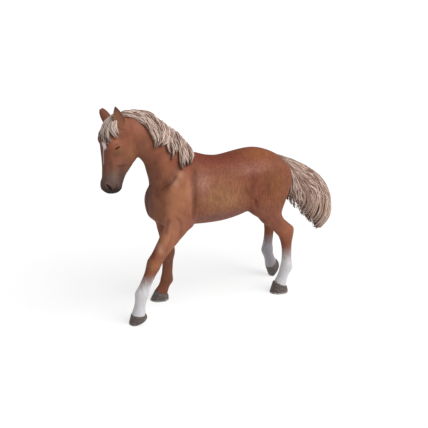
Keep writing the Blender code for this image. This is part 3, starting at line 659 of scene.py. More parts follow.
# %% Lids and nostrils
EYE_SLIT = [(-19.0, 109.15), (-17.1, 109.95), (-15.2, 110.75)]
CREASE = [(-19.4, 110.9), (-17.4, 111.9), (-14.6, 111.9)]
NOSTRIL = [(-22.9, 88.4), (-21.9, 87.2), (-20.9, 85.6), (-20.2, 84.6)]
LID = 0.45                      # width of a lid
WALL = 0.3                      # width of the step down into a slit


def slit(points, normals, path, half, deep, rim):
    """Sinks an almond along path by deep, and raises a rim of the given height round it.

    The almond is half wide in the middle and closes at both ends: its edge lies at
    half x (1 - (2 place - 1) squared) from the path.
    """
    height = np.zeros(len(points))
    found, gap, place = beside(points, path, SIDE_VIEW, 4 * LID + half)
    edge = half * (1 - (2 * place - 1) ** 2)
    past = np.abs(gap) - edge
    sunk = -deep * np.clip(0.5 - past / WALL, 0, 1) * np.clip(edge / half * 2, 0, 1)
    raised = rim * bell((past - LID) / LID) * (past > -LID)
    over = np.where(gap > 0, 1.0, 0.7)                      # the lower rim is lower
    facing = np.clip(np.abs(normals[found, 0]) * 2.5 - 0.5, 0, 1)
    height[found] = (sunk + raised * over) * facing
    return height


at, out = points_of(skin), normals_of(skin)
eyes = slit(at, out, EYE_SLIT, half=0.46, deep=0.9, rim=0.5)
crease, gap, place = beside(at, CREASE, SIDE_VIEW, 1.5)
eyes[crease] -= 0.34 * bell(gap / LID) * np.sin(np.pi * place)
nostrils = slit(at, out, NOSTRIL, half=0.72, deep=1.15, rim=0.38)
put(skin, at + out * (eyes + nostrils)[:, None])
print(f"the eyes sink {-eyes.min():.2f} parts, the nostrils {-nostrils.min():.2f}")

# %% Tendons
BACK_TENDON = (0.5, 1.9)        # how far its two grooves lie behind the line of the bones
TENDON_WIDTH, TENDON_DEPTH = 0.55, 0.22
ONE_LEG = 6                     # points this near in x belong to the same leg


def tendons(points):
    """Two thin grooves down the side of each cannon, before and behind the back tendon."""
    height = np.zeros(len(points))
    for joints in (*FORE_JOINTS.values(), *HIND_JOINTS.values()):
        (x, y1, z1), (_, y2, z2) = joints[1:]
        near = np.abs(points[:, 0] - x) < ONE_LEG
        for back in BACK_TENDON:
            path = [(y1 + (y2 - y1) * t + back, z1 + (z2 - z1) * t) for t in (0.2, 0.5, 0.85)]
            found, gap, place = beside(points, path, SIDE_VIEW, 1.6)
            inside = near[found] * np.clip(np.minimum(place, 1 - place) * 6, 0, 1)
            height[found] -= TENDON_DEPTH * bell(gap / TENDON_WIDTH) * inside
    return height


# %% Keep the skin in its box
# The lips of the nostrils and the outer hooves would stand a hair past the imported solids.
NOSE = -23.7                    # y; what is ahead of it comes back by d - tanh(d)
SLIMMER = 0.998
at, out = points_of(skin), normals_of(skin)
at = at + out * tendons(at)[:, None]
ahead = NOSE - at[:, 1]
at[:, 1] = np.where(ahead > 0, NOSE - np.tanh(ahead), at[:, 1])
at[:, 0] *= SLIMMER
put(skin, at)
skin.shade_smooth()
print("the skin reaches from", at.min(0).round(1), "to", at.max(0).round(1), "parts")

# %% [markdown]
# ## A piece and its place
#
# Every piece is shown by an object at the origin, with its place in its mesh. It rides on
# the model's one body and hides the imported solids that it stands for.

# %% Show a piece
def show(name, mesh, replaces=()):
    """The named piece in metres, riding on the body; returns its object."""
    put(mesh, metres(points_of(mesh)))
    piece = bpy.data.objects.new(name, mesh)
    bpy.context.scene.collection.objects.link(piece)
    mesh.shade_smooth()
    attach(piece, "root")
    if replaces:
        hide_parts(*replaces)
    triangles = sum(len(p.vertices) - 2 for p in mesh.polygons)
    print(f"{name}: {triangles} triangles")
    return piece


# %% [markdown]
# ## Ears
#
# An ear is a rolled leaf: its back is half a tube, its front is scooped out, and it comes
# to a point. Each is its own shape set a little into the head, so the edge of the ear
# stays as thin as the mould makes it.

# %% The two ears
# Ears: root, tip (x, y, z), half width, how far the cup turns outwards from the front.
EARS = {
    "left": ((5.4, -12.8, 119.5), (5.2, -15.8, 132.4), 3.1, 80),
    "right": ((-5.4, -14.2, 119.0), (-8.0, -20.3, 130.3), 3.1, 80),
}
LEAF_PLACES = [0, .2, .42, .7, .9, 1]
LEAF_WIDTHS = [[.66], [.9], [1], [.74], [.36], [.08]]
BLUNT = {"left": 0.0, "right": 0.7}     # the right one is moulded with a blunt, short tip
SHORTER = 0.13                          # how much a fully blunt ear is shorter


def ear(root, tip, half, turn, blunt, rings=40, around=48):
    """A cupped leaf from root to tip: the back a half ellipse, the front scooped.

    A point lies at centre + leaf x (cos(a) x across + (front x |sin(a)| + 0.4) x 0.75 x
    face) x half. Blunt, from 0 to 1, widens the end of the leaf.
    """
    root, tip = np.asarray(root, float), np.asarray(tip, float)
    way = (tip - root) / np.linalg.norm(tip - root)
    face = np.array([np.sign(root[0]) * np.sin(np.radians(turn)), -np.cos(np.radians(turn)), 0])
    face -= way * (face @ way)
    face /= np.linalg.norm(face)
    across = np.cross(way, face)
    u = np.linspace(0, 1, rings)
    leaf = through(LEAF_PLACES, LEAF_WIDTHS, u)[:, None]
    leaf = leaf + blunt * 0.34 * np.clip((u[:, None, None] - 0.5) / 0.4, 0, 1)
    angle = np.linspace(0, 2 * np.pi, around, endpoint=False)[None, :, None]
    c, s = np.cos(angle), np.sin(angle)
    scoop = 0.5 - 0.95 * np.clip(u / 0.4, 0, 1)              # full at the root, then hollow
    front = np.where(s < 0, -1.0, scoop[:, None, None])
    centre = (root + (tip - root) * u[:, None])[:, None]
    return (centre + c * half * leaf * across
            + (front * np.abs(s) + 0.4) * 0.75 * half * leaf * face)


for name, (root, tip, half, turn) in EARS.items():
    root = np.array(root)
    tip = root + (np.array(tip) - root) * (1 - SHORTER * BLUNT[name])
    leaf = ear(root, tip, half, turn, BLUNT[name])
    show(name + "_ear", mesh_of("ear", tubes(leaf[None])), ["ear_" + name])

# %% [markdown]
# ## Eyes
#
# The eyes are moulded with the body on the real toy and painted gloss black-brown. Here
# each is a small ball of its own behind the lids, so that it keeps its own shine.

# %% The two eyes
EYEBALL = (7.75, -17.1, 109.95)
EYEBALL_RADII = (1.05, 2.2, 1.1)
for name, side in SIDES:
    grid = ball(np.array(EYEBALL) * (side, 1, 1), EYEBALL_RADII)
    show(name + "_eye", mesh_of("eye", tubes(grid[None])), ["eye_" + name])

# %% [markdown]
# ## Hooves
#
# The hoof wall is a loft from the coronet to the ground edge, steeper behind than in
# front. Fine rings of growth run round it. Under it the sole is hollow, with a rim that
# stands on the floor: what would lie below the floor is cut off level.

# %% Hoof walls and soles
RINGS_OF_GROWTH, RING_HEIGHT = 7, 0.006
CORONET, GROUND_EDGE = 0.05, 0.035      # how far the wall draws in at its top and foot
WALL_ROWS = ((0, .46, 2.0), (0.5, .42, 2.4), (1, .42, 2.4))     # fall, widest, squareness
SOLE_ROWS = ((0.86, 0.0), (0.80, 0.35), (0.45, 0.5), (0.2, 0.3))    # width, depth
for foot, (x, front, back, toe, heel, top, bottom) in HOOVES.items():
    front, back, toe, heel = (np.array(p) for p in (front, back, toe, heel))
    rows = []
    for fall, widest, square in WALL_ROWS:
        a, b = front + (toe - front) * fall, back + (heel - back) * fall
        rows.append((tuple(a), tuple(b), x, top + (bottom - top) * fall, widest, 2.0, square))
    wall = loft(rows, around=64, along=14)
    middle = wall.mean(1, keepdims=True)
    fall = np.linspace(0, 1, len(wall))[:, None, None]
    swell = RING_HEIGHT * np.sin(2 * np.pi * RINGS_OF_GROWTH * fall)
    swell = swell - CORONET * bell(fall / 0.05)
    wall = middle + (wall - middle) * (1 + swell - GROUND_EDGE * bell((1 - fall) / 0.10))
    wall[..., 2] = np.maximum(wall[..., 2], 0)              # level with the floor
    edge, heart = wall[-1], wall[-1].mean(0)
    up = wall[0].mean(0) - heart
    up = up / np.linalg.norm(up)
    sole = [heart + (edge - heart) * wide + up * deep for wide, deep in SOLE_ROWS]
    hoof = np.concatenate([wall, sole])
    show(foot + "_hoof", mesh_of(foot, tubes(hoof[None])), ["hoof_" + foot])

# %% [markdown]
# ## Hair
#
# Mane, forelock and tail are cut into the mould as locks, each lock a bundle of strands
# about a millimetre thick. A strand here is a tube with an oval section that runs to a
# point. Every strand carries two numbers for the paint: how near the crown of the strand
# a point is, and how far along it.

# %% Where the hair grows
# Locks of the mane: width, thickness, how far it stands off, then the points that it
# hangs through, (y, z). The place to the side comes from the skin.
MANE = [
    (3.0, 2.2, 0.1, [(-13.4, 126.4), (-9.0, 126.8), (-4.4, 125.6), (-0.4, 122.8), (2.8, 119.4),
                     (4.6, 115.4), (5.4, 111.6)]),
    (3.2, 2.4, 0.2, [(-11, 127.4), (-5.5, 126.8), (-0.4, 124.2), (3.1, 120.8), (5.4, 116.4),
                     (6.3, 112.2), (5.9, 107.2)]),
    (3.4, 2.6, 0.5, [(-10, 128.2), (-3.5, 127.4), (2.0, 124.2), (5.4, 120.0), (7.2, 115.2),
                     (7.4, 111.0), (6.3, 107.4)]),
    (3.6, 2.8, 0.8, [(-6, 128.5), (0.6, 127.4), (4.8, 124.4), (7.9, 120.2), (9.3, 115.6),
                     (9.0, 111.4), (7.6, 108.0)]),
    (3.4, 2.6, 0.6, [(-1, 128.2), (5.0, 126.4), (9.0, 122.8), (11.2, 118.2), (11.8, 114.2),
                     (9.8, 110.6), (6.6, 108.4)]),
    (3.2, 2.4, 0.4, [(10.5, 122.8), (13.2, 118.6), (13.4, 114.4), (11.2, 111.2), (8.0, 108.9)]),
    (3.2, 2.4, 0.5, [(15.4, 119.0), (16.8, 115.2), (15.2, 111.4), (12.4, 109.2), (9.6, 107.8)]),
    (3.2, 2.2, 0.1, [(14.4, 119.8), (15.9, 114.6), (14.9, 110.0), (14.8, 106.4), (15.8, 102.6)]),
    (3.4, 2.4, 0.4, [(18.2, 117.0), (18.4, 112.6), (17.8, 108.4), (18.3, 104.6), (17.3, 101.4),
                     (15.8, 99.4)]),
    (3.2, 2.2, 0.0, [(20.6, 115.2), (20.7, 110.4), (20.4, 106.2), (20.0, 101.8)]),
    (3.4, 2.6, 0.6, [(22.8, 113.2), (23.6, 108.6), (23.9, 104.6), (23.2, 100.8), (22.0, 97.0),
                     (21.9, 93.2)]),
    (3.2, 2.4, 0.3, [(25.0, 111.0), (25.6, 106.8), (25.3, 102.4), (24.4, 98.4), (23.8, 94.2)]),
    (3.2, 2.4, 0.5, [(27.0, 108.6), (27.9, 104.4), (27.5, 100.0), (26.0, 94.6)]),
    (3.0, 2.2, 0.2, [(29.0, 106.0), (30.3, 102.2), (30.2, 98.6), (27.8, 94.8)]),
    (2.6, 1.8, 0.0, [(31.2, 103.4), (32.2, 100.4), (31.2, 98.2), (29.6, 96.8)]),
]
CREST = [(-12.0, 126.6), (-6.0, 128.0), (0.0, 127.6), (5.4, 125.8), (10.5, 122.6), (15.4, 118.8),
         (20.6, 114.8), (25.0, 110.6), (28.4, 106.6), (30.2, 104.2)]
SHORT_LOCKS = 19                # on the right of the crest
FOREHEAD = (0, -12, 114)        # where the forelock's directions are seen from
FORELOCK = [                    # degrees round to the left, and degrees upwards
    (3.2, 1.8, [(-30, 76), (-42, 54), (-40, 28), (-32, 6), (-20, -4)]),
    (3.2, 2.0, [(-18, 78), (-22, 52), (-24, 28), (-16, 6), (-4, -8)]),
    (3.2, 2.2, [(-2, 78), (-3, 52), (-6, 28), (2, 6), (18, -7)]),
    (3.0, 2.4, [(4, 74), (12, 52), (11, 30), (19, 9), (40, -3)]),
    (3.0, 2.6, [(14, 72), (25, 51), (27, 32), (34, 13), (47, 0)]),
    (3.2, 2.8, [(28, 70), (39, 50), (45, 33), (54, 19), (63, 9)]),
    (2.8, 2.4, [(40, 68), (50, 49), (58, 34), (67, 21)]),
]
TAIL = [                        # outer (y, z), inner (y, z), half width
    (93.0, 91.2, 96.2, 85.0, 2.6),
    (99.5, 89.2, 99.4, 78.6, 3.8),
    (107.7, 85.6, 101.6, 70.6, 4.8),
    (115.0, 81.6, 102.9, 62.6, 5.3),
    (121.5, 77.4, 106.2, 58.0, 5.5),
    (128.0, 71.8, 109.8, 54.0, 5.5),
    (132.9, 65.8, 113.4, 50.4, 5.3),
    (136.6, 58.2, 117.0, 46.8, 4.9),
    (138.0, 50.0, 120.8, 43.0, 4.3),
    (137.6, 43.2, 124.2, 39.4, 3.5),
    (135.2, 38.0, 127.2, 36.2, 2.4),
    (131.2, 34.0, 129.0, 33.8, 1.0),
]

print(len(MANE), "long locks,", SHORT_LOCKS, "short ones,", len(FORELOCK), "over the forehead")

# %% Strands
STRAND_AROUND, STRAND_RINGS = 8, 30
WAVE = 14                       # parts from one bend of a strand to the next
chance = np.random.default_rng(5)


def unit(v):
    """The same directions, one long."""
    return v / (np.linalg.norm(v, axis=-1, keepdims=True) + 1e-9)


def strands(lines, flats, wide, thick):
    """Tubes grid[strand, ring, around] round lines[strand, ring, 3].

    A point lies at line + cos(turn) x wide x across + sin(turn) x thick x flat.
    """
    way = unit(np.gradient(lines, axis=1))
    flats = unit(flats - way * (flats * way).sum(2, keepdims=True))
    across = np.cross(way, flats)
    turn = np.linspace(0, 2 * np.pi, STRAND_AROUND, endpoint=False)[:, None]
    return (lines[:, :, None] + np.cos(turn) * wide[:, :, None, None] * across[:, :, None]
            + np.sin(turn) * thick[:, :, None, None] * flats[:, :, None])


def along(path, out):
    """A lock's smooth middle line, and on it the directions across and out of the lock."""
    path = np.asarray(path, float)
    places = np.concatenate([[0], np.cumsum(np.linalg.norm(np.diff(path, axis=0), axis=1))])
    at = np.linspace(0, places[-1], STRAND_RINGS)
    line, flat = through(places, path, at), through(places, out, at)
    way = unit(np.gradient(line, axis=0))
    flat = unit(flat - way * (flat * way).sum(1, keepdims=True))
    return line, np.cross(way, flat), flat


print("a strand has", STRAND_AROUND * (STRAND_RINGS - 1), "quads")


# %% Locks
def waves(u, turns, height):
    """Two sines along each strand, the quick one a third as high, from chance places."""
    start = chance.uniform(0, 2 * np.pi, (2, len(height), 1))
    slow = np.sin(2 * np.pi * turns * u + start[0])
    return height * (slow + 0.35 * np.sin(2 * np.pi * 2.3 * turns * u + start[1]))


def bundle(path, out, width, thick, count, wisps):
    """One lock: its strands side by side, then thin wisps that wander over them.

    Strand k runs beside the lock's line at half the width x a, with a from -1 to 1, and
    waves once in about WAVE parts. The lock is as high as thick x cos(a), and its strands
    meet at the tip. The second result says how pale the paint on each strand is.
    """
    line, across, flat = along(path, out)
    turns = np.linalg.norm(np.diff(line, axis=0), axis=1).sum() / WAVE
    u = np.linspace(0, 1, STRAND_RINGS)[None, :]
    a = np.concatenate([np.linspace(-1, 1, count), chance.uniform(-1, 1, wisps)])[:, None]
    thin = (np.arange(count + wisps) >= count)[:, None]
    swell = np.sqrt(np.sin(np.pi * (0.16 + 0.80 * u)))
    sway = waves(u, turns * chance.uniform(0.8, 1.3, a.shape), np.where(thin, 0.30, 0.10))
    sway = sway + waves(u, turns, np.array([[0.16]]))
    offset = (a * 0.84 + sway * np.sqrt(u)) * swell * (1 - 0.45 * u ** 3)
    lift = np.cos(offset * 1.3) - 0.45 + chance.uniform(-0.22, 0.22, a.shape) + thin * 0.2
    lift = lift + waves(u, turns, np.where(thin, 0.12, 0.2))
    lines = (line + (offset * width / 2)[..., None] * across
             + (lift * thick / 2)[..., None] * flat)
    flats = flat + (offset * 0.9)[..., None] * across
    end = 1 - chance.uniform(0, 0.14, a.shape) * (1 - thin)
    taper = np.sqrt(np.clip(np.sin(np.pi * (0.1 + 0.89 * u / end)), 0, 1)) * (u < end)
    size = np.where(thin, 0.27, width / count * 0.60) * chance.uniform(0.85, 1.15, a.shape)
    size = size * np.maximum(taper, 0.05)
    pale = chance.uniform(0, 0.75, len(a)) + 0.25 * thin[:, 0]
    return strands(lines, flats, size, size), pale


def heart(path, out, width, thick):
    """The body of a lock under its strands, painted dark as the shade between them: one thick strand,
    a little lower.
    """
    line, across, flat = along(path, out)
    swell = np.sqrt(np.sin(np.pi * (0.10 + 0.84 * np.linspace(0, 1, STRAND_RINGS))))[None]
    low = line - flat * thick * 0.22
    return strands(low[None], flat[None], swell * width * 0.42, swell * thick * 0.42)


def lock(path, out, width, thick, count, wisps):
    """One lock as its body, painted dark as shade, its strands, and how pale the paint on each strand
    is.
    """
    grid, pale = bundle(path, out, width, thick, count, wisps)
    return heart(path, out, width, thick), grid, pale


# %% UV strips and pieces of hair
def strip_map(mesh, counts):
    """A UV map in which each tube is a strip in a cell of its own.

    Across the strip is round the tube, up the strip is along it. Counts are how many
    tubes come in each run of the mesh's points; each run ends with the tubes' end points.
    """
    tube, up, turn, first = [], [], [], 0
    for count in counts:
        rows, rings, places = np.indices((count, STRAND_RINGS, STRAND_AROUND)).reshape(3, -1)
        tube += [rows + first, np.tile(np.arange(count), 2) + first]
        up += [rings + 1.0, np.repeat([0.0, STRAND_RINGS + 1.0], count)]
        turn += [places, np.full(2 * count, -1)]
        first += count
    corner = np.empty(len(mesh.loops), int)
    mesh.loops.foreach_get("vertex_index", corner)
    starts = np.empty(len(mesh.polygons), int)
    mesh.polygons.foreach_get("loop_start", starts)
    sizes = np.diff(np.append(starts, len(corner)))
    turn = np.concatenate(turn).astype(float)[corner]
    seam = np.repeat(np.maximum.reduceat(turn, starts), sizes) == STRAND_AROUND - 1
    turn = np.where(seam & (turn == 0), STRAND_AROUND, turn)
    end = turn < 0                                  # an end point goes midway between its two
    middle = np.repeat(np.add.reduceat(np.where(end, 0, turn), starts), sizes) / 2
    turn = np.where(end, middle, turn) / STRAND_AROUND
    tube, up = np.concatenate(tube)[corner], np.concatenate(up)[corner] / (STRAND_RINGS + 1)
    wide = int(np.ceil(2 * np.sqrt(first)))
    high = int(np.ceil(first / wide))
    spots = np.stack([(tube % wide + 0.05 + 0.9 * turn) / wide,
                      (tube // wide + 0.05 + 0.9 * up) / high], 1)
    mesh.uv_layers.new(name="OFBake").data.foreach_set("uv", spots.ravel())


def hair_piece(name, locks):
    """One piece of hair from its locks, with the numbers for the paint.

    They are the height on the strand, sin(turn) / 2 + 1/2, the place along it, and how pale
    it is.
    """
    cores, grids, pale = (np.concatenate(part) for part in zip(*locks))
    mesh = mesh_of(name, joined([tubes(cores), tubes(grids)]))
    around = np.sin(np.linspace(0, 2 * np.pi, STRAND_AROUND, endpoint=False)) / 2 + 0.5
    mark = np.zeros((len(mesh.vertices), 3))
    start = cores.size // 3 + 2 * len(cores)
    strand = mark[start:start + grids.size // 3].reshape(*grids.shape[:3], 3)
    strand[..., 0] = around
    strand[..., 1] = np.linspace(0, 1, STRAND_RINGS)[:, None]
    strand[..., 2] = pale[:, None, None]
    # The bodies under the strands get a crown of 0, so they take the dark painted shade of the
    # grooves.
    mark[:start, 1] = 0.5                           # the dark bodies get no pale crown or tip
    strand = mesh.attributes.new("strand", "FLOAT_VECTOR", "POINT")
    strand.data.foreach_set("vector", mark.ravel())
    strip_map(mesh, [len(cores), len(grids)])
    return show(name + "_hair", mesh, [name])


# %% [markdown]
# ## Mane
#
# The mane falls to the left. Its locks root on the right of the crest, cross over it and
# hang down the neck, the long ones in front. Their tips curl forwards. The place to the
# side comes from the skin: a ray from the left finds where the neck is.

# %% The long locks of the mane
flesh = BVHTree.FromPolygons(at.tolist(), [tuple(p.vertices) for p in skin.polygons])
BESIDE = 60                     # x that the rays start from


def met(start, way):
    """Where a ray from start along way meets the skin, or None."""
    return flesh.ray_cast(start, way)[0]


CROSSING = [(-0.8, 0, 1), (0.2, 0, 1), (0.8, 0, 0.8)]      # out of a lock, over the crest
HANGING = (1, 0, 0.3)                                       # and out of it down the neck
locks = []
for width, thick, lift, path in MANE:
    hits = [met((BESIDE, y, z), (-1, 0, 0)) for y, z in path]
    side = np.array([hit.x + lift + thick * 0.42 if hit else 1.2 for hit in hits])
    side[0] = 0.2
    fall = thick * 0.45 * np.clip(1 - np.arange(len(path)) / 2.5, 0, 1)
    path = np.array(path) - np.stack([0 * fall, fall], 1)
    (y, z), rest = path[0], list(zip(side, *zip(*path)))
    line = [(-2.8, y - 0.6, z - 2.2), *rest]                # the root, right of the crest
    out = np.array(CROSSING + [HANGING] * (len(path) - 2))
    locks.append(lock(line, out, width, thick, 6, 6))
print(len(locks), "locks hang on the left")

# %% The short locks on the right
SHORT_WIDTH, SHORT_THICK = 3.6, 1.8
SHORT_DROP = [1.6, 1.1, 2.0, 4.2]       # below the crest, root first
SHORT_BACK = [0.0, 0.4, 0.9, 1.2, 0.6]  # behind its root
SHORT_OUT = [(0.5, 0, 1), (-0.4, 0, 1), (-0.8, 0, 0.6), (-1, 0, 0.3), (-1, 0, 0.2)]
crest = through(np.linspace(0, 1, len(CREST)), CREST, np.linspace(0, 1, SHORT_LOCKS))
for y, z in crest:
    drop = z - np.array([*SHORT_DROP, 7.0 + chance.uniform(-1.2, 1.2)])
    back = y + np.array(SHORT_BACK)
    hits = [met((-BESIDE, b, d), (1, 0, 0)) for b, d in zip(back[2:], drop[2:])]
    side = [1.4, -0.8] + [hit.x - 0.5 if hit else -1.2 for hit in hits]
    side[2] = min(side[2], -2.0)
    line = list(zip(side, back, drop))
    locks.append(lock(line, np.array(SHORT_OUT), SHORT_WIDTH, SHORT_THICK, 5, 2))
hair_piece("mane", locks)

# %% [markdown]
# ## Forelock
#
# The forelock's locks fan out over the forehead from between the ears.

# %% The forelock
PALER = 0.15                    # the forelock gets more of the pale paint
locks = []
for width, thick, path in FORELOCK:
    turn, rise = np.radians(path).T
    out = np.stack([np.sin(turn) * np.cos(rise), -np.cos(turn) * np.cos(rise), np.sin(rise)], 1)
    hits = [met(FOREHEAD + way * 0.5, way) for way in out]
    core, grid, pale = lock(np.array(hits) + out * thick * 0.35, out, width, thick, 6, 3)
    locks.append((core, grid, pale + PALER))
hair_piece("forelock", locks)

# %% [markdown]
# ## Tail
#
# The tail is one bundle that arches out behind. Its strands start side by side at the
# dock and follow the outer line. One after another they leave it, cross the bundle and
# end in a curl past the inner edge, which makes that edge ragged.

# %% The tail's section
tail = np.array(TAIL)


def tail_at(s, f, side, lift):
    """Points at the places s along the tail and f across it, and the directions out.

    The tail's section is an ellipse from the outer line, f = 0, to the inner line, f = 1.
    """
    row = through(np.linspace(0, 1, len(tail)), tail, s.ravel()).reshape(*s.shape, 5)
    outer, inner, half = row[..., 0:2], row[..., 2:4], row[..., 4:5]
    cos = (1 - 2 * f)[..., None]
    sin = np.sqrt(np.clip(1 - cos * cos, 0, 1))
    arm = (outer - inner) / 2
    long = np.linalg.norm(arm, axis=-1, keepdims=True)
    out = unit(np.concatenate([side * sin * long / half, arm / long * cos], -1))
    place = np.concatenate([side * sin * half, (outer + inner) / 2 + arm * cos], -1)
    return place + out * lift[..., None], out


long = np.linalg.norm(tail[:, :2] - tail[:, 2:4], axis=1).max()
print(f"the tail is up to {long:.0f} parts deep and {2 * tail[:, 4].max():.0f} wide")

# %% The tail's strands
LOCKS, EACH, WISPS = 15, 4, 60  # locks on one side of the tail, strands of each, wisps
SWAY, QUICK_SWAY = 0.042, 0.022
SUNK = 1.1                      # how deep a strand's middle lies in the bundle
CURL = 0.80                     # place along a strand where its tip starts to curl
FORWARD, DOWN = 2.2, 0.7        # how far the tip curls


def tail_strands(side, p, a, thin, lock):
    """Strands of the locks p, each at a across its lock, on one side of the tail.

    Lock p, from 0 inside to 1 outside, starts at 1 - p of the way to the inner line. It
    reaches that line at the place 0.14 + 0.86 p, and bends to it the later the farther
    out it starts. Lock is where each lock's own two waves start.
    """
    u = np.linspace(0, 1, STRAND_RINGS)[None, :]
    s = u * (0.14 + 0.86 * p)
    bend = u ** (1.7 + 4.5 * p * p + 9 * p ** 12)
    turns = 0.8 + 2.4 * p                                   # a long lock waves more often
    sway = SWAY * np.sin(2 * np.pi * turns * u + lock[0])
    sway = sway + QUICK_SWAY * np.sin(2 * np.pi * 2.1 * turns * u + lock[1])
    sway = sway + waves(u, turns * 1.3, np.where(thin, 0.026, 0.007))
    f = (1 - p) * (1 - bend) + bend + a * 0.042 * (1 - 0.8 * u ** 4)
    f = f + sway * np.sqrt(u) * (1 - 0.6 * bend)
    lift = 0.34 * np.cos(a * 1.2) + chance.uniform(-0.3, 0.3, p.shape) + thin * 0.2 - SUNK
    lift = lift + waves(u, turns, np.full(p.shape, 0.2))
    lift = lift * (1 - 0.3 * u)
    lines, flats = tail_at(s, np.clip(f, 0.004, 0.996), side, lift)
    past = np.clip((u - CURL) / (1 - CURL), 0, 1) ** 1.5
    curl = chance.uniform(0.9, 1.3, p.shape) * (1 + 0.6 * np.sin(lock[0]))
    lines[..., 1] -= FORWARD * past * curl * np.sin(2.4 * past)
    lines[..., 2] -= DOWN * past * curl * (p < 0.93)        # the outermost would leave the box
    taper = np.sqrt(1 - 0.94 * u ** 8)
    grow = 0.45 + 0.55 * np.clip(u / 0.4, 0, 1)
    size = np.where(thin, 0.28, 0.60) * chance.uniform(0.75, 1.2, p.shape) * taper * grow
    pale = chance.uniform(0, 0.6, len(p)) + 0.4 * thin[:, 0]
    return strands(lines, flats, size, size * 0.9), pale


# %% The tail
OUTWARDS = 0.62                 # under 1 it gives the outer side of the tail more locks
CORE_END, CORE_DEPTH = 0.985, 1.0
halves = []
for side in (1, -1):
    place = (np.arange(LOCKS) + 0.5) / LOCKS
    p = np.repeat(place ** OUTWARDS, EACH)[:, None]
    a = np.tile(np.linspace(-1, 1, EACH), LOCKS)[:, None]
    starts = np.repeat(chance.uniform(0, 2 * np.pi, (2, LOCKS)), EACH, axis=1)[..., None]
    halves.append(tail_strands(side, p, a, p < 0, starts))
    p = chance.uniform(0.05, 1, WISPS)[:, None] ** OUTWARDS
    starts = chance.uniform(0, 2 * np.pi, (2, WISPS, 1))
    halves.append(tail_strands(side, p, chance.uniform(-2, 2, p.shape), p > 0, starts))
turn = np.linspace(0, 2 * np.pi, STRAND_AROUND, endpoint=False)
s = np.linspace(0, CORE_END, STRAND_RINGS)[:, None] + 0 * turn
f = 0 * s + (1 - np.cos(turn)) / 2
right, left = (tail_at(s, f, side, 0 * s - CORE_DEPTH)[0] for side in (-1, 1))
core = np.where((np.sin(turn) < 0)[None, :, None], right, left)
hair_piece("tail", [(core[None], *(np.concatenate(part) for part in zip(*halves)))])

# %% [markdown]
# ## Where the paint goes
#
# The coat is sprayed: a base coat, then soft clouds of other browns over it. A cloud
# here is a place, a size and a colour, and it fades like a bell curve. Some clouds are
# painted highlights and some are painted shade. The stockings and the star are brushed on,
# so their edges are ragged. The colours go to the skin's points.

# %% Sprays
def linear(code):
    """A colour from its hex code: each channel c becomes ((c + 0.055) / 1.055) ^ 2.4."""
    c = np.array([int(code[i:i + 2], 16) for i in (1, 3, 5)]) / 255
    return np.where(c <= 0.04045, c / 12.92, ((c + 0.055) / 1.055) ** 2.4)


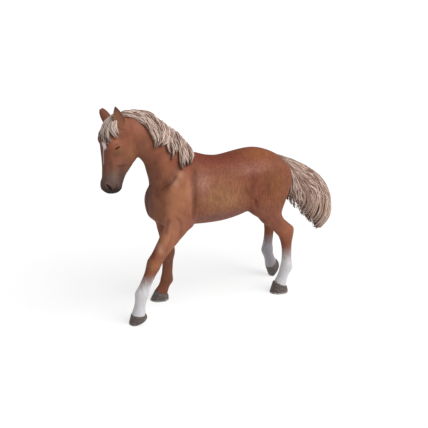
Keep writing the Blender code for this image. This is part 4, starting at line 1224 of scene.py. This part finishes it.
BASE = "#84513D"
SPRAYS = [  # middle (for both sides), radii, colour, strength
    ((4, 48, 97), (12, 26, 6), "#70362A", 0.9),             # back
    ((16, 68, 81), (9, 11, 13), "#744031", 0.8),            # flank
    ((16.5, 66, 80), (6, 1.8, 7), "#542A22", 0.5),          # strokes on the haunch
    ((16.5, 77, 79), (6, 2.0, 8), "#542A22", 0.5),
    ((14, 80, 80), (8, 8, 12), "#774834", 0.5),
    ((8, 76, 96), (8, 12, 5), "#8E5636", 0.9),              # croup
    ((15, 17, 78), (9, 9, 13), "#A06C4E", 0.85),            # shoulder
    # Painted highlights: pale spots along the edge of the shoulder blade.
    ((11.5, 16.2, 86), (4, 2.4, 3), "#BD8D76", 0.6),        # pale spots on it
    ((11, 20, 90.5), (4, 2.4, 3), "#BD8D76", 0.6),
    # Painted shade: a dark band in the crease behind the shoulder.
    ((15, 28.4, 77), (8, 1.5, 15), "#6C392C", 0.5),         # behind the shoulder
    # Painted highlight: a pale band on the shoulder in front of the crease.
    ((14, 24.2, 81), (6, 1.6, 10), "#B9846D", 0.4),         # pale band before it
    ((11.5, 26, 90), (5, 3.5, 6), "#8A4F3A", 0.5),
    ((15, 9, 57), (6, 8, 12), "#B47C5E", 0.75),             # forearm
    ((15.4, 4.5, 48), (4, 1.8, 3.4), "#C2937A", 0.55),      # knee
    ((13.4, 0.4, 45), (3.5, 1.8, 6), "#6A3428", 0.75),
    ((15, -1, 37), (6, 5, 4), "#A5734F", 0.5),
    ((16, 83, 76), (8, 7, 14), "#7D5033", 0.7),             # buttock
    ((17, 45, 73), (10, 14, 10), "#956A4B", 0.9),           # barrel
    # Painted sheen: a mauve highlight on the barrel behind the shoulder.
    ((14, 33, 84), (5, 5, 7), "#A87968", 0.75),
    # Painted sheen: a mauve highlight along the top of the croup.
    ((13, 68, 88), (5, 12, 3.5), "#966859", 0.7),
    ((5, 0, 107), (5, 6, 12), "#7C5140", 0.6),              # neck
    # Painted highlight: paler, pinker paint on the top of the neck.
    ((5, 0, 120), (4, 7, 3), "#95614F", 0.7),
    ((7, 8, 96), (5, 5, 8), "#87553F", 0.6),
    # Darker under the barrel: dark paint and painted shade.
    ((14, 46, 60.5), (10, 22, 4), "#755350", 0.7),          # belly
    # Painted shade on the breast, which faces forwards.
    ((3, 4, 74), (6, 5, 16), "#7A574B", 0.8),               # breast
    # Painted shade under the throat.
    ((0, -8, 99), (4, 5, 12), "#5E3F30", 0.6),              # throat
    # Painted shade down the front of the face.
    ((0, -23.5, 106), (4, 2.5, 16), "#66493E", 0.55),       # front of the face
    ((8.6, -15.5, 107), (3, 3, 2), "#6E543B", 0.6),         # under the eye
    ((8.4, -16.5, 113), (3, 3, 1.6), "#9A6450", 0.6),       # brow
    ((8, -8, 105), (5, 6, 6), "#7A5436", 0.6),              # cheek
    ((7, -15, 102), (3, 4, 3.5), "#955E4E", 0.7),
    ((5.6, -20.6, 100.5), (2, 1, 1.4), "#6A4034", 0.6),
    ((3, -18, 87.5), (14, 14, 9), "#6B554C", 1.35),         # muzzle
    ((2, -20, 81), (14, 14, 5.6), "#302825", 1.6),          # chin
    ((5.4, -17.8, 91.5), (2.5, 1.6, 3.5), "#7C6A62", 0.4),
    # Painted shade under the jaw.
    ((2, -13.2, 93), (8, 2.4, 9), "#3E2E28", 0.6),          # under the jaw
    ((17, 79, 56), (6, 10, 9), "#7A4C40", 0.7),             # gaskin
    # Painted shade: the right foreleg is darker.
    ((12, 22, 28), (8, 12, 22), "#7C5646", 0.5),            # right foreleg
    ((13, 94, 44), (7, 6, 6), "#966048", 0.6),              # hock
    ((4, 95, 89), (6, 5, 6), "#7B5443", 0.8),               # dock
    ((5.3, -14.4, 126), (2, 4, 8), "#825C46", 0.8),         # ears
    # Painted shade in the cup of the right ear.
    ((7.4, -18, 125), (2.2, 3, 6), "#6C483D", 0.95),
    ((6, -17, 132), (4, 4, 3), "#4A352E", 0.9),
]
HAIR_BASE = "#7E6053"
HAIR_SPRAYS = [
    ((0, 95, 88), (8, 9, 12), "#805E4E", 1.0),              # dock
    ((0, 126, 44), (12, 16, 16), "#AD9180", 1.0),           # end of the tail
    ((3, -19, 119), (9, 8, 12), "#B0A097", 1.0),            # forelock
    ((2, -4, 127), (6, 8, 5), "#9C8478", 0.7),              # top of the mane
]


def sprayed(points, colour, sprays):
    """Clouds over a base colour, each mixed in by strength x exp(-distance squared).

    A strength over 1 gives a cloud with an even middle.
    """
    tone = np.tile(linear(colour), (len(points), 1))
    sided = np.stack([np.abs(points[:, 0]), points[:, 1], points[:, 2]], 1)
    for middle, radii, code, strength in sprays:
        away = (sided - middle) / radii
        share = np.clip(strength * np.exp(-(away * away).sum(1)), 0, 1)[:, None]
        tone = tone * (1 - share) + linear(code) * share
    return tone


# %% Coat
# Painted shade: the coat is darkened where the skin faces forwards or backwards, and on the inner
# sides of the legs.
PAINTED_SHADE = 0.34                      # how dark the paint gets where it faces away or inwards
PAINTED_SHADE_COLOUR = "#3A211A"
at, out = points_of(skin), normals_of(skin)
tone = sprayed(at, BASE, SPRAYS)
# Where the painted shade falls: faces turned forwards or backwards, and the legs' inner sides below
# the belly.
endwise = np.clip((np.abs(out[:, 1:2]) - 0.45) / 0.55, 0, 1)       # forwards or backwards
inward = np.clip(-out[:, 0:1] * np.sign(at[:, 0:1]), 0, 1)
rim = np.maximum(PAINTED_SHADE * endwise, PAINTED_SHADE * (inward * np.clip((66 - at[:, 2:3]) / 14, 0, 1)))
tone = tone * (1 - rim) + linear(PAINTED_SHADE_COLOUR) * rim
print("the coat's mean linear colour:", tone.mean(0).round(3))

# %% Stockings
# The last column is painted shade: it greys the inner side of the right hind stocking.
STOCKINGS = [                   # (x, y), top, how long it fades, how grey
    ((11, -5), 33, 12.5, 0.0),
    ((12, 95), 34, 16, 0.0),
    ((-12.4, 96), 34, 12, 0.9),
]
white, grey = np.zeros(len(at)), np.zeros(len(at))
for (x, y), top, fade, shade in STOCKINGS:
    near = (np.abs(at[:, 0] - x) < 8) & (np.abs(at[:, 1] - y) < 16)
    white = np.maximum(white, near * np.clip((top - at[:, 2]) / fade, 0, 1))
    # Painted shade: the stocking turns grey on its side that faces +X.
    grey = np.maximum(grey, near * shade * np.clip(0.5 + 0.5 * out[:, 0], 0, 1))
print(f"{(white > 0).mean():.0%} of the skin's points are in a stocking")

# %% Star and stripe
STAR_X, STAR_Z = 2.2, 111
STAR_WIDTH, STAR_HEIGHT = 4.2, 3.0
STRIPE_TOP, STRIPE_END, STRIPE_WIDTH = 110, 100, 0.8
FACE = -19                      # y; the marks lie in front of it
across = at[:, 0] - STAR_X
star = (np.abs(across) / STAR_WIDTH) ** 1.3 + (np.abs(at[:, 2] - STAR_Z) / STAR_HEIGHT) ** 1.3
star = star + 0.14 * np.sin(2.2 * at[:, 0] + 1.7 * at[:, 2])       # a ragged edge
stripe = 0.45 + np.abs(across + 0.7) / STRIPE_WIDTH
stripe = stripe + np.clip((STRIPE_END - at[:, 2]) / 1.5, 0, 9)
stripe = stripe + np.clip((at[:, 2] - STRIPE_TOP) / 1.5, 0, 9)
forward = (at[:, 1] < FACE)[:, None]
for edge, code, most in ((star, "#DDD1D4", 1.0), (stripe, "#DCC4B8", 0.75)):
    mark = most * np.clip((1.3 - edge) / 0.7, 0, 1)[:, None] * forward
    tone = tone * (1 - mark) + linear(code) * mark
print(f"the star covers {(star < 1).sum()} points")

# %% Give the colours to the skin
strokes = np.clip((at[:, 1] - 22) / 14, 0, 1) * np.clip((at[:, 2] - 56) / 8, 0, 1)
strokes = 0.35 + 0.65 * strokes         # the moulded hair is strongest on barrel and haunch
# Painted shade: darker in what is carved, the grooves, eyes and nostrils.
carved_shade = np.clip(-(depth + eyes * 1.5 + nostrils * 2) / 0.7, 0, 1)    # dark in what is carved
marks = np.stack([white, strokes, carved_shade], 1)
for label, values in (("tone", tone), ("marks", marks)):
    data = np.concatenate([values, grey[:, None]], 1)
    skin.attributes.new(label, "FLOAT_COLOR", "POINT").data.foreach_set("color", data.ravel())

# %% Colours of the ears and the hair
for ending, base, clouds in (("_ear", BASE, SPRAYS), ("_hair", HAIR_BASE, HAIR_SPRAYS)):
    for piece in [p for p in bpy.data.objects if p.name.endswith(ending)]:
        values = np.ones((len(piece.data.vertices), 4))
        values[:, :3] = sprayed(parts(points_of(piece.data)), base, clouds)
        tones = piece.data.attributes.new("tone", "FLOAT_COLOR", "POINT")
        tones.data.foreach_set("color", values.ravel())

# %% Show the skin
legs = [leg + "_" + name for leg in ("foreleg", "hindleg") for name, _ in SIDES]
show("skin", skin, ["trunk", "neck", "head", *legs])

# %% [markdown]
# ## UV maps
#
# A UV map lays a surface out flat, so that its colours can be kept as a picture. The skin
# and the ears are cut where they bend sharply, and each patch gets its own place.

# %% UV maps of the skin and the ears
for piece in bpy.data.objects:
    if piece.name == "skin" or piece.name.endswith("_ear"):
        piece.data.uv_layers.new(name="OFBake")
        bpy.context.view_layer.objects.active = piece
        piece.select_set(True)
        bpy.ops.object.mode_set(mode="EDIT")
        bpy.ops.mesh.select_all(action="SELECT")
        bpy.ops.uv.smart_project(angle_limit=np.radians(66), island_margin=0.002)
        bpy.ops.object.mode_set(mode="OBJECT")
        piece.select_set(False)
        print(piece.name, "has its UV map")

# %% [markdown]
# ## Paints
#
# All the colours are one kind of stuff: satin acrylic paint on moulded vinyl, sprayed or
# brushed on. To the eye that is a plastic surface with a soft, wide shine and no clear
# reflections, so it is rough and not metallic. Patterns are noise in the piece's own
# coordinates. Their scales are counted in cells per millimetre.

# %% The paint's nodes
def add(tree, kind, inputs=None, **settings):
    """Adds a node of that kind; an input takes a value or another node's output."""
    node = tree.nodes.new("ShaderNode" + kind)
    for key, value in settings.items():
        setattr(node, key, value)
    for key, value in (inputs or {}).items():
        if isinstance(value, bpy.types.NodeSocket):
            tree.links.new(value, node.inputs[key])
        else:
            node.inputs[key].default_value = value
    return node


def paint(name):
    """A new material with an empty tree."""
    material = bpy.data.materials.new(name)
    material.use_nodes = True
    material.node_tree.nodes.clear()
    return material, material.node_tree


def rgba(code):
    """A hex colour as four linear channels."""
    return (*linear(code), 1.0)


PER_MM = 1000.0                 # scale of a noise with one cell in each millimetre

# %% [markdown]
# ## Coat
#
# The airbrush leaves soft clouds some 4 mm wide. The mould gives the coat short strokes of
# hair 0.8 mm apart and 3 mm long. On a figure this small they are drawn coarser than the
# real ones, so that they show. Painted shade darkens what is carved.

# %% Coat paint: the sprayed browns
coat, tree = paint("satin acrylic paint, chestnut, on vinyl")
tone = add(tree, "Attribute", attribute_name="tone").outputs["Color"]
marks = add(tree, "Attribute", attribute_name="marks")
grey = marks.outputs["Alpha"]
marks = add(tree, "SeparateColor", {"Color": marks.outputs["Color"]}).outputs
place = add(tree, "TexCoord").outputs["Object"]
clouds = add(tree, "TexNoise", {"Vector": place, "Scale": 0.22 * PER_MM, "Detail": 5.0,
                                "Roughness": 0.65})
cloud = add(tree, "MapRange", {"Value": clouds.outputs["Fac"], "From Min": 0.32,
                               "From Max": 0.68}).outputs[0]
cloud = add(tree, "Mix", {0: cloud, 6: (0.89, 0.86, 0.90, 1), 7: (1.07, 1.08, 1.04, 1)},
            data_type="RGBA").outputs[2]
tone = add(tree, "VectorMath", {0: tone, 1: cloud}, operation="MULTIPLY").outputs[0]

# %% Coat paint: the strokes of hair and the painted shade in what is carved
stroke_scale = (1.3 * PER_MM, 1.3 * PER_MM, 0.33 * PER_MM)
short = add(tree, "Mapping", {"Vector": place, "Scale": stroke_scale}).outputs[0]
hairs = add(tree, "TexNoise", {"Vector": short, "Scale": 1.0, "Detail": 1.5}).outputs["Fac"]
dark = add(tree, "MapRange", {"Value": hairs, "From Min": 0.38, "From Max": 0.62,
                              "To Min": 0.84, "To Max": 1.10}).outputs[0]
haired = add(tree, "Mix", {0: marks[1], 2: 1.0, 3: dark}).outputs[0]
base = add(tree, "VectorMath", {0: tone, "Scale": haired}, operation="SCALE").outputs[0]
# Painted shade: what is carved turns up to a third of the way to dark brown.
soft = add(tree, "Math", {0: marks[2], 1: 0.35}, operation="MULTIPLY").outputs[0]
carved_shade = add(tree, "Mix", {0: soft, 6: base, 7: rgba("#46261E")}, data_type="RGBA").outputs[2]

# %% [markdown]
# ## Stockings
#
# A flat brush, drawn down the leg, puts white over the brown. Its bristles leave strokes a
# millimetre wide and 8 mm long: the edge is ragged, and brown-grey shows between them.

# %% Coat paint: the brushed white
bristle_scale = (PER_MM, PER_MM, 0.13 * PER_MM)
long = add(tree, "Mapping", {"Vector": place, "Scale": bristle_scale}).outputs[0]
bristle = add(tree, "TexNoise", {"Vector": long, "Scale": 1.0, "Detail": 2.0}).outputs["Fac"]
ragged = add(tree, "Math", {0: bristle, 1: 0.9, 2: -0.45}, operation="MULTIPLY_ADD").outputs[0]
cover = add(tree, "Math", {0: marks[0], 1: ragged}, operation="ADD").outputs[0]
cover = add(tree, "MapRange", {"Value": cover, "From Min": 0.02, "From Max": 0.8}).outputs[0]
reach = add(tree, "MapRange", {"Value": marks[0], "From Max": 0.25}).outputs[0]
cover = add(tree, "Math", {0: cover, 1: reach}, operation="MULTIPLY").outputs[0]
thin = add(tree, "MapRange", {"Value": bristle, "From Min": 0.46, "From Max": 0.56,
                              "To Max": 1.1}).outputs[0]
thin = add(tree, "Math", {0: thin, 1: marks[0]}, operation="SUBTRACT", use_clamp=True).outputs[0]
# The stocking's painted shade: white turns grey where the grey value says.
brushed = add(tree, "Mix", {0: grey, 6: rgba("#C1BFC1"), 7: rgba("#807B80")},
              data_type="RGBA").outputs[2]
brushed = add(tree, "Mix", {0: thin, 6: brushed, 7: rgba("#6E625E")}, data_type="RGBA").outputs[2]
white = add(tree, "Mix", {0: cover, 6: carved_shade, 7: brushed}, data_type="RGBA").outputs[2]

# %% Coat paint: the surface
# The relief of the strokes is 0.15 mm deep, and less where they are faint.
height = add(tree, "Math", {0: hairs, 1: marks[1]}, operation="MULTIPLY").outputs[0]
bump = add(tree, "Bump", {"Height": height, "Strength": 0.5, "Distance": 0.15 / PER_MM})
surface = add(tree, "BsdfPrincipled", {"Base Color": white, "Roughness": 0.6, "IOR": 1.25,
                                       "Specular IOR Level": 0.2, "Normal": bump.outputs[0]})
add(tree, "OutputMaterial", {"Surface": surface.outputs[0]})
print(coat.name, "has", len(tree.nodes), "nodes")

# %% [markdown]
# ## Hair
#
# The hair is sprayed brown, and a nearly dry brush with cream paint is drawn across it. It
# catches the crowns of the strands and misses the grooves, which get darker painted shade.
# Some strands get more than others, in patches some 5 mm wide, and the tips get the least.

# %% Hair paint: the brown, and painted shade in the grooves
hair, tree = paint("satin acrylic paint, flaxen, on vinyl")
strand = add(tree, "Attribute", attribute_name="strand").outputs["Vector"]
crown, way, pale = add(tree, "SeparateXYZ", {"Vector": strand}).outputs
under = add(tree, "Attribute", attribute_name="tone").outputs["Color"]
# Painted shade: low on each strand the brown turns towards dark brown.
groove = add(tree, "MapRange", {"Value": crown, "From Min": 0.30, "From Max": 0.70}).outputs[0]
deep = add(tree, "Mix", {0: 0.55, 6: under, 7: rgba("#4A3026")}, data_type="RGBA").outputs[2]
body = add(tree, "Mix", {0: groove, 6: deep, 7: under}, data_type="RGBA").outputs[2]

# %% Hair paint: the cream on the crowns
place = add(tree, "TexCoord").outputs["Object"]
patchy = add(tree, "TexNoise", {"Vector": place, "Scale": 0.2 * PER_MM, "Detail": 1.0})
brushed = add(tree, "Math", {0: patchy.outputs["Fac"], 1: 0.4, 2: -0.2}, operation="MULTIPLY_ADD")
reach = add(tree, "Math", {0: crown, 1: brushed.outputs[0]}, operation="ADD").outputs[0]
lots = add(tree, "Math", {0: pale, 1: 0.8, 2: -0.45}, operation="MULTIPLY_ADD").outputs[0]
reach = add(tree, "Math", {0: reach, 1: lots}, operation="ADD").outputs[0]
ridge = add(tree, "MapRange", {"Value": reach, "From Min": 0.70, "From Max": 1.10}).outputs[0]
cream = add(tree, "Mix", {0: ridge, 6: body, 7: rgba("#D2BCAF")}, data_type="RGBA").outputs[2]
tips = add(tree, "MapRange", {"Value": way, "From Min": 0.82, "From Max": 1.0,
                              "To Max": 0.6}).outputs[0]
ends = add(tree, "Mix", {0: tips, 6: cream, 7: rgba("#5E4032")}, data_type="RGBA").outputs[2]
surface = add(tree, "BsdfPrincipled", {"Base Color": ends, "Roughness": 0.55, "IOR": 1.46,
                                       "Specular IOR Level": 0.2})
add(tree, "OutputMaterial", {"Surface": surface.outputs[0]})
print(hair.name, "has", len(tree.nodes), "nodes")

# %% [markdown]
# ## Hooves and eyes
#
# The hooves are painted grey-brown and rub against the shelf: scuffs 2 mm wide and half a
# millimetre high lie round the wall, and pale chips along the lowest millimetre. The eyes
# get a drop of gloss black-brown, smoother than the rest, so that a small light shows.

# %% Hoof paint
hoof_paint, tree = paint("satin acrylic paint, grey-brown, on vinyl")
CHIPPED, BARE = 1.2 / PER_MM, 0.2 / PER_MM      # height where chips start, and are most
place = add(tree, "TexCoord").outputs["Object"]
scuff_scale = (0.6 * PER_MM, 0.6 * PER_MM, 1.9 * PER_MM)
flat = add(tree, "Mapping", {"Vector": place, "Scale": scuff_scale}).outputs[0]
scuffs = add(tree, "TexNoise", {"Vector": flat, "Scale": 1.0, "Detail": 4.0, "Roughness": 0.7})
rubbed = add(tree, "MapRange", {"Value": scuffs.outputs["Fac"], "From Min": 0.50, "From Max": 0.70,
                                "To Max": 0.6}).outputs[0]
horn = add(tree, "Mix", {0: rubbed, 6: rgba("#4F4541"), 7: rgba("#9A908A")},
           data_type="RGBA").outputs[2]
low = add(tree, "SeparateXYZ", {"Vector": place}).outputs[2]
low = add(tree, "MapRange", {"Value": low, "From Min": CHIPPED, "From Max": BARE}).outputs[0]
chips = add(tree, "MapRange", {"Value": scuffs.outputs["Fac"], "From Min": 0.42,
                               "From Max": 0.55}).outputs[0]
worn = add(tree, "Math", {0: low, 1: chips}, operation="MULTIPLY").outputs[0]
rim = add(tree, "Mix", {0: worn, 6: horn, 7: rgba("#BDB8B4")}, data_type="RGBA").outputs[2]
bump = add(tree, "Bump", {"Height": scuffs.outputs["Fac"], "Strength": 0.4,
                          "Distance": 0.2 / PER_MM})
surface = add(tree, "BsdfPrincipled", {"Base Color": rim, "Roughness": 0.5, "IOR": 1.4,
                                       "Specular IOR Level": 0.4, "Normal": bump.outputs[0]})
add(tree, "OutputMaterial", {"Surface": surface.outputs[0]})
print(hoof_paint.name, "has", len(tree.nodes), "nodes")

# %% Eye paint
eye_paint, tree = paint("gloss black paint")
surface = add(tree, "BsdfPrincipled", {"Base Color": rgba("#1A0F0C"), "Roughness": 0.35, "IOR": 1.3})
add(tree, "OutputMaterial", {"Surface": surface.outputs[0]})

# %% Put the paints on
PAINTED = (("skin", coat), ("_ear", coat), ("_hair", hair), ("_hoof", hoof_paint),
           ("_eye", eye_paint))
for piece in bpy.data.objects:
    for ending, painted in PAINTED:
        if piece.type == "MESH" and piece.name.endswith(ending):
            piece.data.materials.append(painted)
            print(piece.name, "gets", painted.name)

# %% [markdown]
# ## Floor, light and camera
#
# The figure stands on a pale card, which glows a little, as it does in a light tent. One
# wide soft lamp shines from high up on the horse's left, and the sky fills the shadows.

# %% Floor
FLOOR = 6.0                     # half the card's side, in metres
floor_mesh = bpy.data.meshes.new("floor")
floor_mesh.from_pydata([(-FLOOR, -FLOOR, 0), (FLOOR, -FLOOR, 0), (FLOOR, FLOOR, 0),
                        (-FLOOR, FLOOR, 0)], [], [(0, 1, 2, 3)])
floor = bpy.data.objects.new("floor", floor_mesh)
bpy.context.scene.collection.objects.link(floor)
card, tree = paint("white matt card")
surface = add(tree, "BsdfPrincipled", {"Base Color": rgba("#A0A0A0"), "Roughness": 0.9,
                                       "Specular IOR Level": 0.0,
                                       "Emission Color": (1, 1, 1, 1), "Emission Strength": 0.67})
add(tree, "OutputMaterial", {"Surface": surface.outputs[0]})
floor_mesh.materials.append(card)

# %% Lights
SKY_STRENGTH, LAMP_STRENGTH, LAMP_WIDTH = 0.45, 2.7, 50
TO_LAMP = Vector((0.56, 0.43, 0.71))
world = bpy.data.worlds.new("sky")
bpy.context.scene.world = world
world.use_nodes = True
world.node_tree.nodes.clear()
sky = add(world.node_tree, "Background", {"Color": (1, 1, 1, 1), "Strength": SKY_STRENGTH})
add(world.node_tree, "OutputWorld", {"Surface": sky.outputs[0]})
lamp = bpy.data.objects.new("lamp", bpy.data.lights.new("lamp", "SUN"))
lamp.data.energy = LAMP_STRENGTH
lamp.data.angle = np.radians(LAMP_WIDTH)
lamp.rotation_euler = TO_LAMP.to_track_quat("Z", "Y").to_euler()
bpy.context.scene.collection.objects.link(lamp)
print("one lamp and the sky")

# %% Camera
AZIMUTH, ELEVATION = np.radians(63), np.radians(20)
AWAY = 460                      # parts from what it looks at
LOOK_AT = np.array([0, 47.4, 54.7])
LENS, SHIFT_X, SHIFT_Y = 61.38, 0.00234, 0.0105
back = np.array([np.sin(AZIMUTH) * np.cos(ELEVATION), -np.cos(AZIMUTH) * np.cos(ELEVATION),
                 np.sin(ELEVATION)])
camera = bpy.data.objects.new("camera", bpy.data.cameras.new("camera"))
camera.location = metres(LOOK_AT + back * AWAY)
camera.rotation_euler = (np.pi / 2 - ELEVATION, 0, AZIMUTH)
camera.data.lens = LENS
camera.data.shift_x = SHIFT_X
camera.data.shift_y = SHIFT_Y
camera.data.clip_start = 0.01
camera.data.dof.use_dof = False
bpy.context.scene.collection.objects.link(camera)
bpy.context.scene.camera = camera
bpy.context.scene.view_settings.view_transform = "Standard"
